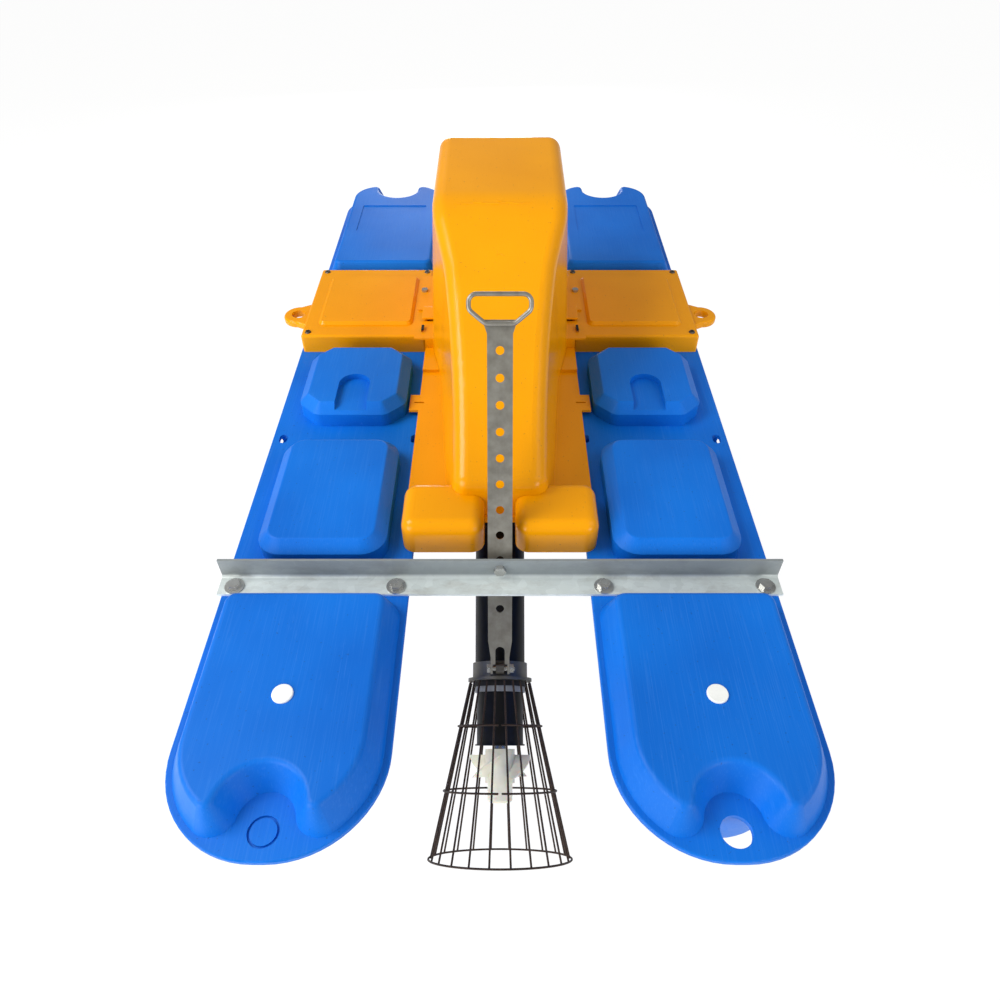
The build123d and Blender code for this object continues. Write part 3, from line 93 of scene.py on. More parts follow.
# Ridges on the hood: the pucker along its crease, at places across it in millimetres, and two marks
# left by the mould, each with its name, its Y and the way it bends. Mark angles are in degrees, and
# a ridge's end is measured against its middle
CREASE_Y = 0.112
PUCKER_PLACES = range(-84, 64, 6)
PUCKER_WANDER = 2.5 * MM
PUCKER_RADIUS = 1.5 * MM
MARKS = (("hood_mark_rear", 0.124, -1), ("hood_mark_front", 0.006, 1))
MARK_ANGLES = range(20, 161, 10)
MARK_RADIUS = 7 * MM
MARK_RIDGE_RADIUS = 0.7 * MM
RIDGE_END = 0.15

# The hood's latch plates and the tabs behind them. Places along the hood run back from the near edge
# of a cross box, and the latch's window is a distance from the middle
PLATE_LENGTH = 51.5 * MM
TAB_START = 98 * MM
PLATE_CLEARANCE = 0.3 * MM
LIP_REACH = 40 * MM
LIP_LAP = 10 * MM
LIP_HEIGHT = 5 * MM
LIP_EDGE = 1.2 * MM
WINDOW_X = 163 * MM
WINDOW_Y = 17.5 * MM
TONGUE_HALF_WIDTH = 2.7 * MM
TONGUE_HALF_LENGTH = 9.7 * MM
TONGUE_HEIGHT = 3.2 * MM
TONGUE_EDGE = 0.6 * MM

# Studio, in metres and degrees. The camera was worked out from the deck's straight edges in the
# photograph. The glow's share is how much of the floor that the camera sees is lit from within
FLOOR_REACH = 30.0
FLOOR_GLOW = 1.1
FLOOR_GLOW_SHARE = 0.8
SKY_LIGHT = 0.5
SKY_IN_REFLECTIONS = 0.25
LAMPS = (
    # Name, place, side of the square in metres, power in watts
    ("key_softbox", (-2.2, -0.4, 2.8), 1.6, 64.0),
    ("fill_softbox", (2.4, -0.8, 2.4), 2.2, 14.0),
    ("front_softbox", (-2.6, -2.8, 1.2), 2.0, 78.0),
    ("right_softbox", (2.2, -3.0, 1.0), 1.6, 34.0),
    ("back_softbox", (-0.4, 4.2, 0.8), 1.2, 30.0),
)
CAMERA_PLACE = (0.0, -1.236, DECK_Z + 0.914)
CAMERA_PITCH = 44.9
CAMERA_LENS = 27.13
CAMERA_SENSOR = 36.0


# Colours and nodes

def linear(hex_colour):
    """Linear RGBA of an sRGB hex colour."""
    channels = [int(hex_colour[i:i + 2], 16) / 255 for i in (1, 3, 5)]
    return (*(c / 12.92 if c <= 0.04045 else ((c + 0.055) / 1.055) ** 2.4 for c in channels), 1.0)


BLACK = linear("#000000")
WHITE = linear("#FFFFFF")


def cells(*sizes):
    """Texture scale that gives a pattern these real sizes in millimetres, one or one for each axis."""
    scales = tuple(1 / (size * MM) for size in sizes)
    return scales if len(scales) > 1 else scales[0]


def add(tree, kind, inputs=None, stops=(), **settings):
    """Adds a node with its settings. An input is a value, a node or socket to link from, or a list
    of them. Stops are the places and colours of a colour ramp."""
    node = tree.nodes.new(kind)
    for name, value in settings.items():
        setattr(node, name, value)
    for name, given in (inputs or {}).items():
        for value in reversed(given if isinstance(given, list) else [given]):
            if isinstance(value, bpy.types.Node):
                value = value.outputs[0]
            if isinstance(value, bpy.types.NodeSocket):
                tree.links.new(value, node.inputs[name])
            else:
                node.inputs[name].default_value = value
    for index, (place, colour) in enumerate(stops):
        node.color_ramp.elements[index].position = place
        node.color_ramp.elements[index].color = colour
    return node


def new_material(name):
    """Empty node material, with Object coordinates to draw from."""
    material = bpy.data.materials.new(name)
    material.use_nodes = True
    tree = material.node_tree
    tree.nodes.clear()
    return material, tree, add(tree, "ShaderNodeTexCoord").outputs["Object"]


def laid_over(tree, colour, tone, pattern, start, end, share):
    """Colour with a share of a tone over it, wherever a pattern is strong."""
    mask = add(tree, "ShaderNodeValToRGB", {"Fac": pattern}, stops=((start, BLACK), (end, WHITE)))
    amount = add(tree, "ShaderNodeMath", {0: mask, 1: share}, operation="MULTIPLY")
    return add(tree, "ShaderNodeMix", {0: amount, 6: colour, 7: tone}, data_type="RGBA").outputs[2]


def close_material(tree, colour, normal, wear, roughness, gloss):
    """Ends a material in its shader, whose roughness runs between two limits with the wear."""
    level = add(tree, "ShaderNodeMapRange", {"Value": wear, "To Min": roughness[0], "To Max": roughness[1]})
    shader = add(tree, "ShaderNodeBsdfPrincipled",
                 {"Base Color": colour, "Roughness": level, "Normal": normal, **gloss})
    add(tree, "ShaderNodeOutputMaterial", {"Surface": shader})


def polyethylene(name, light, dark, scuff, roughness, scuffing, specular):
    """Blow-moulded polyethylene: satin, with hairlines drawn along the float and a slight ripple."""
    material, tree, place = new_material(name)
    patches = add(tree, "ShaderNodeTexNoise", {"Vector": place, "Scale": cells(200), "Detail": 2.0})
    colour = add(tree, "ShaderNodeValToRGB", {"Fac": patches}, stops=((0.3, dark), (0.7, light)))
    # Hairlines 1.4 mm wide and 110 mm long. Real ones are finer, and wouldn't show
    along = add(tree, "ShaderNodeMapping", {"Vector": place, "Scale": cells(1.43, 111, 3.85)})
    hairs = add(tree, "ShaderNodeTexNoise",
                {"Vector": along, "Scale": 1.0, "Detail": 3.0, "Roughness": 0.6})
    colour = laid_over(tree, colour, scuff, hairs, 0.52, 0.8, scuffing)
    # Scratches 7 mm apart and 45 mm long, from dragging
    along = add(tree, "ShaderNodeMapping", {"Vector": place, "Scale": cells(6.67, 45.5, 6.67)})
    drags = add(tree, "ShaderNodeTexNoise",
                {"Vector": along, "Scale": 1.0, "Detail": 5.0, "Roughness": 0.7})
    colour = laid_over(tree, colour, scuff, drags, 0.62, 0.8, scuffing)
    # Specks of dirt 4 mm apart, of which only the strongest show
    specks = add(tree, "ShaderNodeTexNoise", {"Vector": place, "Scale": cells(3.85), "Detail": 1.0})
    colour = laid_over(tree, colour, linear("#1E2A3C"), specks, 0.72, 0.78, 0.35)
    # The wall ripples as it cools, under a grain of 1 mm, which is coarser than real to show
    ripple = add(tree, "ShaderNodeTexNoise", {"Vector": place, "Scale": cells(41.7), "Detail": 1.0})
    normal = add(tree, "ShaderNodeBump", {"Height": ripple, "Distance": 0.9 * MM, "Strength": 0.2})
    grain = add(tree, "ShaderNodeTexNoise", {"Vector": place, "Scale": cells(1.11), "Detail": 2.0})
    for height, distance, strength in ((grain, 0.05 * MM, 0.3), (hairs, 0.08 * MM, 0.35)):
        normal = add(tree, "ShaderNodeBump", {"Height": height, "Distance": distance,
                                              "Strength": strength, "Normal": normal})
    close_material(tree, colour, normal, drags, roughness,
                   {"IOR": 1.51, "Specular IOR Level": specular})
    return material


def metal(name, light, dark, roughness, brush=None, metallic=1.0, patch=55.6, relief=0.04, specular=0.5):
    """Bare or coated metal in two tones, brushed one way where the sizes of the brush marks are given.
    All sizes are in millimetres."""
    material, tree, place = new_material(name)
    patches = add(tree, "ShaderNodeTexNoise",
                  {"Vector": place, "Scale": cells(patch), "Detail": 5.0, "Roughness": 0.6})
    colour = add(tree, "ShaderNodeValToRGB", {"Fac": patches},
                 stops=((0.3, linear(dark)), (0.7, linear(light))))
    height = patches
    if brush:
        along = add(tree, "ShaderNodeMapping", {"Vector": place, "Scale": cells(*brush)})
        height = add(tree, "ShaderNodeTexNoise",
                     {"Vector": along, "Scale": 1.0, "Detail": 4.0, "Roughness": 0.65})
        amount = add(tree, "ShaderNodeMath", {0: height, 1: 0.5}, operation="MULTIPLY")
        colour = add(tree, "ShaderNodeMix", {0: amount, 6: colour, 7: linear(light)},
                     data_type="RGBA").outputs[2]
    normal = add(tree, "ShaderNodeBump", {"Height": height, "Distance": relief * MM, "Strength": 0.6})
    close_material(tree, colour, normal, patches, roughness,
                   {"Metallic": metallic, "Specular IOR Level": specular})
    return material


def galvanised():
    """Hot-dip galvanised steel: pale smooth zinc, a faint spangle, brown stains from weather and painted
    shade on the upright leg.
    """
    material, tree, place = new_material("galvanised_steel")
    # Zinc crystals 12 mm across
    crystals = add(tree, "ShaderNodeTexVoronoi", {"Vector": place, "Scale": cells(11.76)})
    grey = add(tree, "ShaderNodeRGBToBW", {"Color": crystals.outputs["Color"]})
    colour = add(tree, "ShaderNodeValToRGB", {"Fac": grey},
                 stops=((0.1, linear("#DCE5E2")), (0.9, linear("#E9F2EF"))))
    # Stains 25 mm wide and 70 mm long
    along = add(tree, "ShaderNodeMapping", {"Vector": place, "Scale": cells(71.43, 25, 25)})
    stains = add(tree, "ShaderNodeTexNoise",
                 {"Vector": along, "Scale": 1.0, "Detail": 6.0, "Roughness": 0.7})
    colour = laid_over(tree, colour, linear("#8E8068"), stains, 0.5, 0.75, 0.4)
    # Painted shade: the upright leg is painted darker than the leg that lies on the floats
    height = add(tree, "ShaderNodeSeparateXYZ", {0: place}).outputs["Z"]
    upright_painted_shade = add(tree, "ShaderNodeMapRange",
                  {"Value": height, "From Min": DECK_Z + 3 * MM, "From Max": DECK_Z + 9 * MM})
    amount = add(tree, "ShaderNodeMath", {0: upright_painted_shade, 1: 0.75}, operation="MULTIPLY")
    # The darker grey here is painted shade on the upright face
    colour = add(tree, "ShaderNodeMix", {0: amount, 6: colour, 7: linear("#62686C")},
                 data_type="RGBA").outputs[2]
    normal = add(tree, "ShaderNodeBump", {"Height": stains, "Distance": 0.2 * MM, "Strength": 0.3})
    close_material(tree, colour, normal, stains, (0.32, 0.55), {"Metallic": 0.3})
    return material


def plastic(name, light, dark, roughness, translucent=0.0, specular=0.5):
    """Moulded plastic or rubber in two close tones; translucent nylon lets a little light in."""
    material, tree, place = new_material(name)
    patches = add(tree, "ShaderNodeTexNoise", {"Vector": place, "Scale": cells(25), "Detail": 3.0})
    colour = add(tree, "ShaderNodeValToRGB", {"Fac": patches},
                 stops=((0.3, linear(dark)), (0.7, linear(light))))
    # The mould's spark-eroded grain is finer than 0.7 mm, and is drawn coarser to show
    grain = add(tree, "ShaderNodeTexNoise", {"Vector": place, "Scale": cells(0.714), "Detail": 2.0})
    normal = add(tree, "ShaderNodeBump", {"Height": grain, "Distance": 0.05 * MM, "Strength": 0.4})
    close_material(tree, colour, normal, patches, roughness,
                   {"IOR": 1.5, "Subsurface Weight": translucent, "Subsurface Scale": 4 * MM,
                    "Specular IOR Level": specular})
    return material


def make_materials():
    """Every finish of the object, by the name used in the tables below."""
    settings = bpy.context.scene.jet_aerator
    blues = ((*settings.float_colour, 1), (*settings.float_shade, 1), linear("#5E9BE4"))
    yellows = ((*settings.body_colour, 1), (*settings.body_shade, 1), linear("#FFB928"))
    return {
        # Blown against a blasted mould, so satin, and scratched pale by handling
        "float_blue": polyethylene("hdpe_blue_blow_moulded", *blues, (0.34, 0.5), 0.16, 0.16),
        # Blown against a polished mould, so glossy with clear highlights
        "body_yellow": polyethylene("polyethylene_yellow_gloss", *yellows, (0.16, 0.26), 0.08, 0.25),
        # Injection-moulded, so even and nearly matt
        "plug_white": plastic("polypropylene_white", "#F4F5F2", "#E6E8E4", (0.35, 0.5)),
        # Rolled strip, so faint lines run its length, gone dull outdoors
        "strap_steel": metal("stainless_rolled_strap", "#A9A69C", "#88847A", (0.3, 0.45),
                             brush=(2.38, 100, 100), metallic=0.75, patch=16.7),
        # Turned or pressed and left bright
        "bolt_steel": metal("stainless_turned_bolt", "#D2D2CE", "#A8A8A4", (0.2, 0.34), metallic=0.8),
        "zinc": galvanised(),
        # Turned and tarnished by water, so a soft dark sheen
        "dull_steel": metal("steel_turned_dull", "#74716A", "#4F4C47", (0.4, 0.6), metallic=0.8),
        # Turned, so bright and warm
        "brass": metal("brass_turned", "#C9A860", "#A98A48", (0.25, 0.4)),
        # Cast and sprayed with enamel, so the metal shows only as a weak sheen
        "cast_grey": metal("aluminium_cast_painted_grey", "#7F868C", "#70777D", (0.45, 0.6), metallic=0.3),
        # Stamped sheets in a stack, dark from their oxide
        "core_steel": metal("electrical_steel_laminated", "#6E6A66", "#55524F", (0.45, 0.6)),
        # Ground to size, so the brightest metal here
        "ground_steel": metal("steel_ground", "#BEBEBC", "#A2A2A0", (0.18, 0.3)),
        # Baked powder, so no metal shows, and its highlights are broad
        "tube_black": metal("steel_powder_coated_black", "#0C0D10", "#060708", (0.4, 0.55), metallic=0.0,
                            specular=0.2),
        # Moulded with a fine grain, so satin
        "plastic_black": plastic("nylon_black_moulded", "#101012", "#09090A", (0.35, 0.5), specular=0.25),
        # Pressed rubber, so matt
        "rubber_black": plastic("nitrile_rubber_black", "#141414", "#0C0C0C", (0.6, 0.75)),
        # Cut from pipe, so satin
        "plastic_grey": plastic("pvc_grey_ring", "#8C8E90", "#7C7E80", (0.4, 0.55)),
        # Cast, so waxy, with a little light passing through its thin blades
        "nylon_cream": plastic("nylon_cream_cast", "#F2EFDF", "#E2DECB", (0.3, 0.45), translucent=0.25),
        # Drawn wire under a skin of rust, so brown, rough and uneven
        "rusty_wire": metal("steel_wire_weathered", "#4B3A30", "#2A201B", (0.5, 0.75), metallic=0.5,
                            patch=6.25, relief=0.2),
    }


FINISHES = {
    "float_blue": ("float_left", "float_right"),
    "body_yellow": ("cross_box_left", "cross_box_right", "motor_tray", "hood"),
    "plug_white": ("fill_plugs",),
    "strap_steel": ("strap", "strap_handle"),
    "bolt_steel": ("box_screws", "angle_washers", "angle_bolts", "lock_bolt", "hood_bolts",
                   "pivot_bracket_left", "pivot_bracket_right", "bracket_bolts", "bracket_nuts",
                   "cradle", "flange_bolts", "flange_nuts", "clevis_bolt", "clevis_nut",
                   "drive_shaft"),
    "zinc": ("cross_angle",),
    "dull_steel": ("collar",),
    "brass": ("float_inserts",),
    "cast_grey": ("motor_housing", "front_bell", "terminal_box", "terminal_lid",
                  "coupling_housing"),
    "core_steel": ("stator",),
    "ground_steel": ("motor_bearings", "motor_shaft", "shaft_coupling"),
    "tube_black": ("drive_tube",),
    "plastic_black": ("pivot_bushes", "fan_cover", "cable_gland", "outlet_pipe", "cooling_fan"),
    "rubber_black": ("seal_ring",),
    "plastic_grey": ("spacer_ring",),
    "nylon_cream": ("lower_bearing", "impeller", "impeller_nose"),
    "rusty_wire": ("guard_cage",),
}

MATERIALS = {}


def finish_of(name):
    """A finish by its short name. All are made on first use."""
    if not MATERIALS:
        MATERIALS.update(make_materials())
    return MATERIALS[name]


def dress(*finishes):
    """Gives every CAD node listed under these finishes its material."""
    for finish in finishes:
        for node in FINISHES[finish]:
            slots = frame["nodes"][node].data.materials
            slots.clear()
            slots.append(finish_of(finish))


# Geometry Nodes

SOCKETS = {int: "NodeSocketInt", float: "NodeSocketFloat", Vector: "NodeSocketVector"}


def new_tree(name, sizes):
    """Geometry Nodes tree that takes geometry and these named sizes, and gives geometry."""
    tree = bpy.data.node_groups.new(name, "GeometryNodeTree")
    # The holder's geometry goes to the first input, so this one comes before the sizes
    tree.interface.new_socket("Geometry", in_out="INPUT", socket_type="NodeSocketGeometry")
    tree.interface.new_socket("Geometry", in_out="OUTPUT", socket_type="NodeSocketGeometry")
    for label, value in sizes.items():
        socket = tree.interface.new_socket(label, in_out="INPUT", socket_type=SOCKETS[type(value)])
        socket.default_value = value
    return tree, tree.nodes.new("NodeGroupInput").outputs


def close_tree(tree, geometry, material):
    """Ends a tree in real, finished geometry."""
    real = add(tree, "GeometryNodeRealizeInstances", {"Geometry": geometry})
    painted = add(tree, "GeometryNodeSetMaterial", {"Geometry": real, "Material": material})
    add(tree, "NodeGroupOutput", {0: painted})


def run_tree(tree, name, sizes, points=()):
    """Evaluates a tree with its named inputs set and keeps the result as a plain mesh at the origin."""
    base = bpy.data.meshes.new(name + "_holder")
    base.from_pydata([tuple(point) for point in points], [], [])
    holder = bpy.data.objects.new(name + "_holder", base)
    bpy.context.collection.objects.link(holder)
    modifier = holder.modifiers.new("made", "NODES")
    modifier.node_group = tree
    for item in tree.interface.items_tree:
        if item.in_out == "INPUT" and item.name in sizes:
            modifier[item.identifier] = sizes[item.name]
    evaluated = holder.evaluated_get(bpy.context.evaluated_depsgraph_get())
    mesh = bpy.data.meshes.new_from_object(evaluated)
    holder.modifiers.remove(modifier)
    bpy.data.objects.remove(holder)
    if not mesh.polygons:
        raise RuntimeError(f"the tree of {name} made nothing")
    return as_piece(name, mesh)


def as_piece(name, mesh):
    """Object at the origin that holds a finished mesh."""
    mesh.name = name
    piece = bpy.data.objects.new(name, mesh)
    bpy.context.collection.objects.link(piece)
    return piece


def wire_of(tree, curve, radius):
    """Round wire swept along a curve, with ten sides and closed ends."""
    profile = add(tree, "GeometryNodeCurvePrimitiveCircle", {"Resolution": 10, "Radius": radius})
    return add(tree, "GeometryNodeCurveToMesh",
               {"Curve": curve, "Profile Curve": profile, "Fill Caps": True})


def repeat_round(tree, instance, count, first_turn):
    """Copies of a geometry turned in even steps about the local Z axis."""
    points = add(tree, "GeometryNodePoints", {"Count": count})
    step = add(tree, "ShaderNodeMath", {0: math.tau, 1: count}, operation="DIVIDE")
    half_steps = add(tree, "ShaderNodeMath", {0: add(tree, "GeometryNodeInputIndex"), 1: 0.5},
                     operation="ADD")
    turn = add(tree, "ShaderNodeMath", {0: half_steps, 1: step}, operation="MULTIPLY")
    turn = add(tree, "ShaderNodeMath", {0: turn, 1: first_turn}, operation="ADD")
    rotation = add(tree, "FunctionNodeEulerToRotation", {0: add(tree, "ShaderNodeCombineXYZ", {"Z": turn})})
    return add(tree, "GeometryNodeInstanceOnPoints",
               {"Points": points, "Instance": instance, "Rotation": rotation})


def screw_tree(sizes, material):
    """Button-head screw with a hexagon socket, at every point of the holder."""
    tree, given = new_tree("socket_screw", sizes)
    height = given["Head height"]
    top_radius = add(tree, "ShaderNodeMath", {0: given["Head radius"], 1: SCREW_HEAD_TAPER},
                     operation="MULTIPLY")
    head = add(tree, "GeometryNodeMeshCone",
               {"Vertices": 40, "Radius Bottom": given["Head radius"], "Radius Top": top_radius,
                "Depth": height})
    # The socket's cutter is centred on the head's top, so half of it is in the head
    cutter_length = add(tree, "ShaderNodeMath", {0: given["Socket depth"], 1: 2.0}, operation="MULTIPLY")
    cutter = add(tree, "GeometryNodeMeshCylinder",
                 {"Vertices": 6, "Radius": given["Socket radius"], "Depth": cutter_length})
    cutter = add(tree, "GeometryNodeTransform",
                 {"Geometry": cutter, "Translation": add(tree, "ShaderNodeCombineXYZ", {"Z": height})})
    cut = add(tree, "GeometryNodeMeshBoolean", {"Mesh 1": head, "Mesh 2": cutter}, operation="DIFFERENCE")
    shank = add(tree, "GeometryNodeMeshCylinder",
                {"Vertices": 24, "Radius": given["Shank radius"], "Depth": given["Shank length"]})
    drop = add(tree, "ShaderNodeMath", {0: given["Shank length"], 1: -0.5}, operation="MULTIPLY")
    shank = add(tree, "GeometryNodeTransform",
                {"Geometry": shank, "Translation": add(tree, "ShaderNodeCombineXYZ", {"Z": drop})})
    screw = add(tree, "GeometryNodeJoinGeometry", {0: [cut, shank]})
    screws = add(tree, "GeometryNodeInstanceOnPoints", {"Points": given["Geometry"], "Instance": screw})
    close_tree(tree, screws, material)
    return tree


def cage_tree(sizes, material):
    """Wire cage about the local Z axis: straight wires in a cone, two tie rings with a small gap
    where their ends meet, a closed mouth ring and a bead of weld at each crossing."""
    tree, given = new_tree("wire_cage", sizes)
    radius, length, top = given["Wire radius"], given["Length"], given["Top radius"]
    wire_width = add(tree, "ShaderNodeMath", {0: radius, 1: 2.0}, operation="MULTIPLY")
    # The wires end inside the mouth ring
    inner_mouth = add(tree, "ShaderNodeMath", {0: given["Mouth radius"], 1: wire_width},
                      operation="SUBTRACT")
    line = add(tree, "GeometryNodeCurvePrimitiveLine",
               {"Start": add(tree, "ShaderNodeCombineXYZ", {"X": top}),
                "End": add(tree, "ShaderNodeCombineXYZ", {"X": inner_mouth, "Z": length})})
    up = math.pi / 2
    pieces = [repeat_round(tree, wire_of(tree, line, radius), given["Wires"], up)]

    slant = add(tree, "ShaderNodeMath", {0: inner_mouth, 1: top}, operation="SUBTRACT")
    bead_radius = add(tree, "ShaderNodeMath", {0: radius, 1: BEAD_SHARE}, operation="MULTIPLY")
    bead = add(tree, "GeometryNodeMeshIcoSphere", {"Radius": bead_radius, "Subdivisions": 2})
    for tie in ("First tie", "Second tie"):
        height = add(tree, "ShaderNodeMath", {0: given[tie], 1: length}, operation="MULTIPLY")
        widening = add(tree, "ShaderNodeMath", {0: given[tie], 1: slant}, operation="MULTIPLY")
        reach = add(tree, "ShaderNodeMath", {0: top, 1: widening}, operation="ADD")
        ring_radius = add(tree, "ShaderNodeMath", {0: reach, 1: wire_width}, operation="ADD")
        half_gap = add(tree, "ShaderNodeMath", {0: given["Ring gap"], 1: ring_radius}, operation="DIVIDE")
        gap = add(tree, "ShaderNodeMath", {0: half_gap, 1: 2.0}, operation="MULTIPLY")
        sweep = add(tree, "ShaderNodeMath", {0: math.tau, 1: gap}, operation="SUBTRACT")
        start = add(tree, "ShaderNodeMath", {0: half_gap, 1: up}, operation="ADD")
        arc = add(tree, "GeometryNodeCurveArc", {"Resolution": 96, "Radius": ring_radius,
                                                 "Start Angle": start, "Sweep Angle": sweep})
        pieces.append(add(tree, "GeometryNodeTransform",
                          {"Geometry": wire_of(tree, arc, radius),
                           "Translation": add(tree, "ShaderNodeCombineXYZ", {"Z": height})}))
        crossing = add(tree, "ShaderNodeMath", {0: reach, 1: radius}, operation="ADD")
        moved = add(tree, "GeometryNodeTransform",
                    {"Geometry": bead,
                     "Translation": add(tree, "ShaderNodeCombineXYZ", {"X": crossing, "Z": height})})
        pieces.append(repeat_round(tree, moved, given["Wires"], up))
    mouth = add(tree, "GeometryNodeCurvePrimitiveCircle",
                {"Resolution": 96, "Radius": given["Mouth radius"]})
    pieces.append(add(tree, "GeometryNodeTransform",
                      {"Geometry": wire_of(tree, mouth, radius),
                       "Translation": add(tree, "ShaderNodeCombineXYZ", {"Z": length})}))
    cage = add(tree, "GeometryNodeJoinGeometry", {0: pieces})
    placed = add(tree, "GeometryNodeTransform",
                 {"Geometry": cage, "Translation": given["Place"], "Rotation": given["Turn"]})
    close_tree(tree, placed, material)
    return tree


# Pieces made in mesh code

def island_boxes(node):
    """Lowest and highest corners of each separate solid of a CAD node."""
    mesh = bmesh.new()
    mesh.from_mesh(frame["nodes"][node].data)
    bmesh.ops.remove_doubles(mesh, verts=mesh.verts, dist=0.01 * MM)
    left = set(mesh.verts)
    boxes = []
    while left:
        island, front = set(), [left.pop()]
        while front:
            vertex = front.pop()
            island.add(vertex)
            near = {edge.other_vert(vertex) for edge in vertex.link_edges} & left
            left -= near
            front.extend(near)
        corners = [[fold(v.co[axis] for v in island) for axis in range(3)] for fold in (min, max)]
        boxes.append(tuple(Vector(corner) for corner in corners))
    mesh.free()
    # In order of place, so that every run gives the same mesh
    return sorted(boxes, key=lambda box: tuple(box[0]))


def rounded_block(name, low, high, radius, material):
    """Block between two corners with rounded edges."""
    mesh = bmesh.new()
    bmesh.ops.create_cube(mesh, size=1.0)
    for vertex in mesh.verts:
        shares = [0.5 + coordinate for coordinate in vertex.co]
        vertex.co = [a + share * (b - a) for a, b, share in zip(low, high, shares)]
    bmesh.ops.bevel(mesh, geom=mesh.edges[:], offset=radius, segments=3, affect="EDGES", profile=0.5)
    data = bpy.data.meshes.new(name)
    mesh.to_mesh(data)
    mesh.free()
    data.materials.append(material)
    return as_piece(name, data)


def on_surface(node, x, y):
    """Point of a CAD node's upper side above a place of the plan."""
    hit, place, _, _ = frame["nodes"][node].ray_cast(Vector((x, y, LOOKOUT_Z)), Vector((0, 0, -1)))
    if not hit:
        raise RuntimeError(f"{node} has no surface at {x:.3f}, {y:.3f}")
    return place


def raised_line(name, points, radius, material):
    """Thin moulded ridge along points, tapered at both ends."""
    curve = bpy.data.curves.new(name, "CURVE")
    curve.dimensions = "3D"
    curve.bevel_depth = radius
    curve.bevel_resolution = 3
    spline = curve.splines.new("POLY")
    spline.points.add(len(points) - 1)
    for index, (point, place) in enumerate(zip(spline.points, points)):
        share = index / (len(points) - 1)
        point.co = (*place, 1)
        point.radius = RIDGE_END + (1 - RIDGE_END) * math.sin(math.pi * share) ** 0.5
    holder = bpy.data.objects.new(name + "_holder", curve)
    bpy.context.collection.objects.link(holder)
    mesh = bpy.data.meshes.new_from_object(holder.evaluated_get(bpy.context.evaluated_depsgraph_get()))
    bpy.data.objects.remove(holder)
    mesh.materials.clear()
    mesh.materials.append(material)
    return as_piece(name, mesh)


# Settings, operators and the panel

class JetAeratorSettings(bpy.types.PropertyGroup):
    """Sizes and colours that someone would change."""

    float_colour: FloatVectorProperty(name="Floats", description="Lighter tone of the floats",
                                      subtype="COLOR", size=3, default=linear("#0870D6")[:3])
    float_shade: FloatVectorProperty(name="Floats, shade", description="Darker tone of the floats",
                                     subtype="COLOR", size=3, default=linear("#0562C4")[:3])
    body_colour: FloatVectorProperty(name="Body", description="Lighter tone of the hood, tray and boxes",
                                     subtype="COLOR", size=3, default=linear("#EF9F00")[:3])
    body_shade: FloatVectorProperty(name="Body, shade",
                                    description="Darker tone of the hood, tray and boxes",
                                    subtype="COLOR", size=3, default=linear("#E69600")[:3])
    wire_diameter: FloatProperty(name="Wire diameter", description="Thickness of the cage wire",
                                 default=3.2 * MM, subtype="DISTANCE", unit="LENGTH")
    wire_count: IntProperty(name="Wires", description="Straight wires round the cage", default=22)
    ring_gap: FloatProperty(name="Ring gap", description="Half the gap between a tie ring's ends",
                            default=2.5 * MM, subtype="DISTANCE", unit="LENGTH")
    floor_depth: FloatProperty(name="Floor depth", description="Floor below the lowest point at rest, "
                               "which leaves room for the drive at its steepest, as in a pond",
                               default=0.28, subtype="DISTANCE", unit="LENGTH")
    floor_colour: FloatVectorProperty(name="Floor", description="Colour of the floor", subtype="COLOR",
                                      size=3, default=linear("#F4F4F2")[:3])


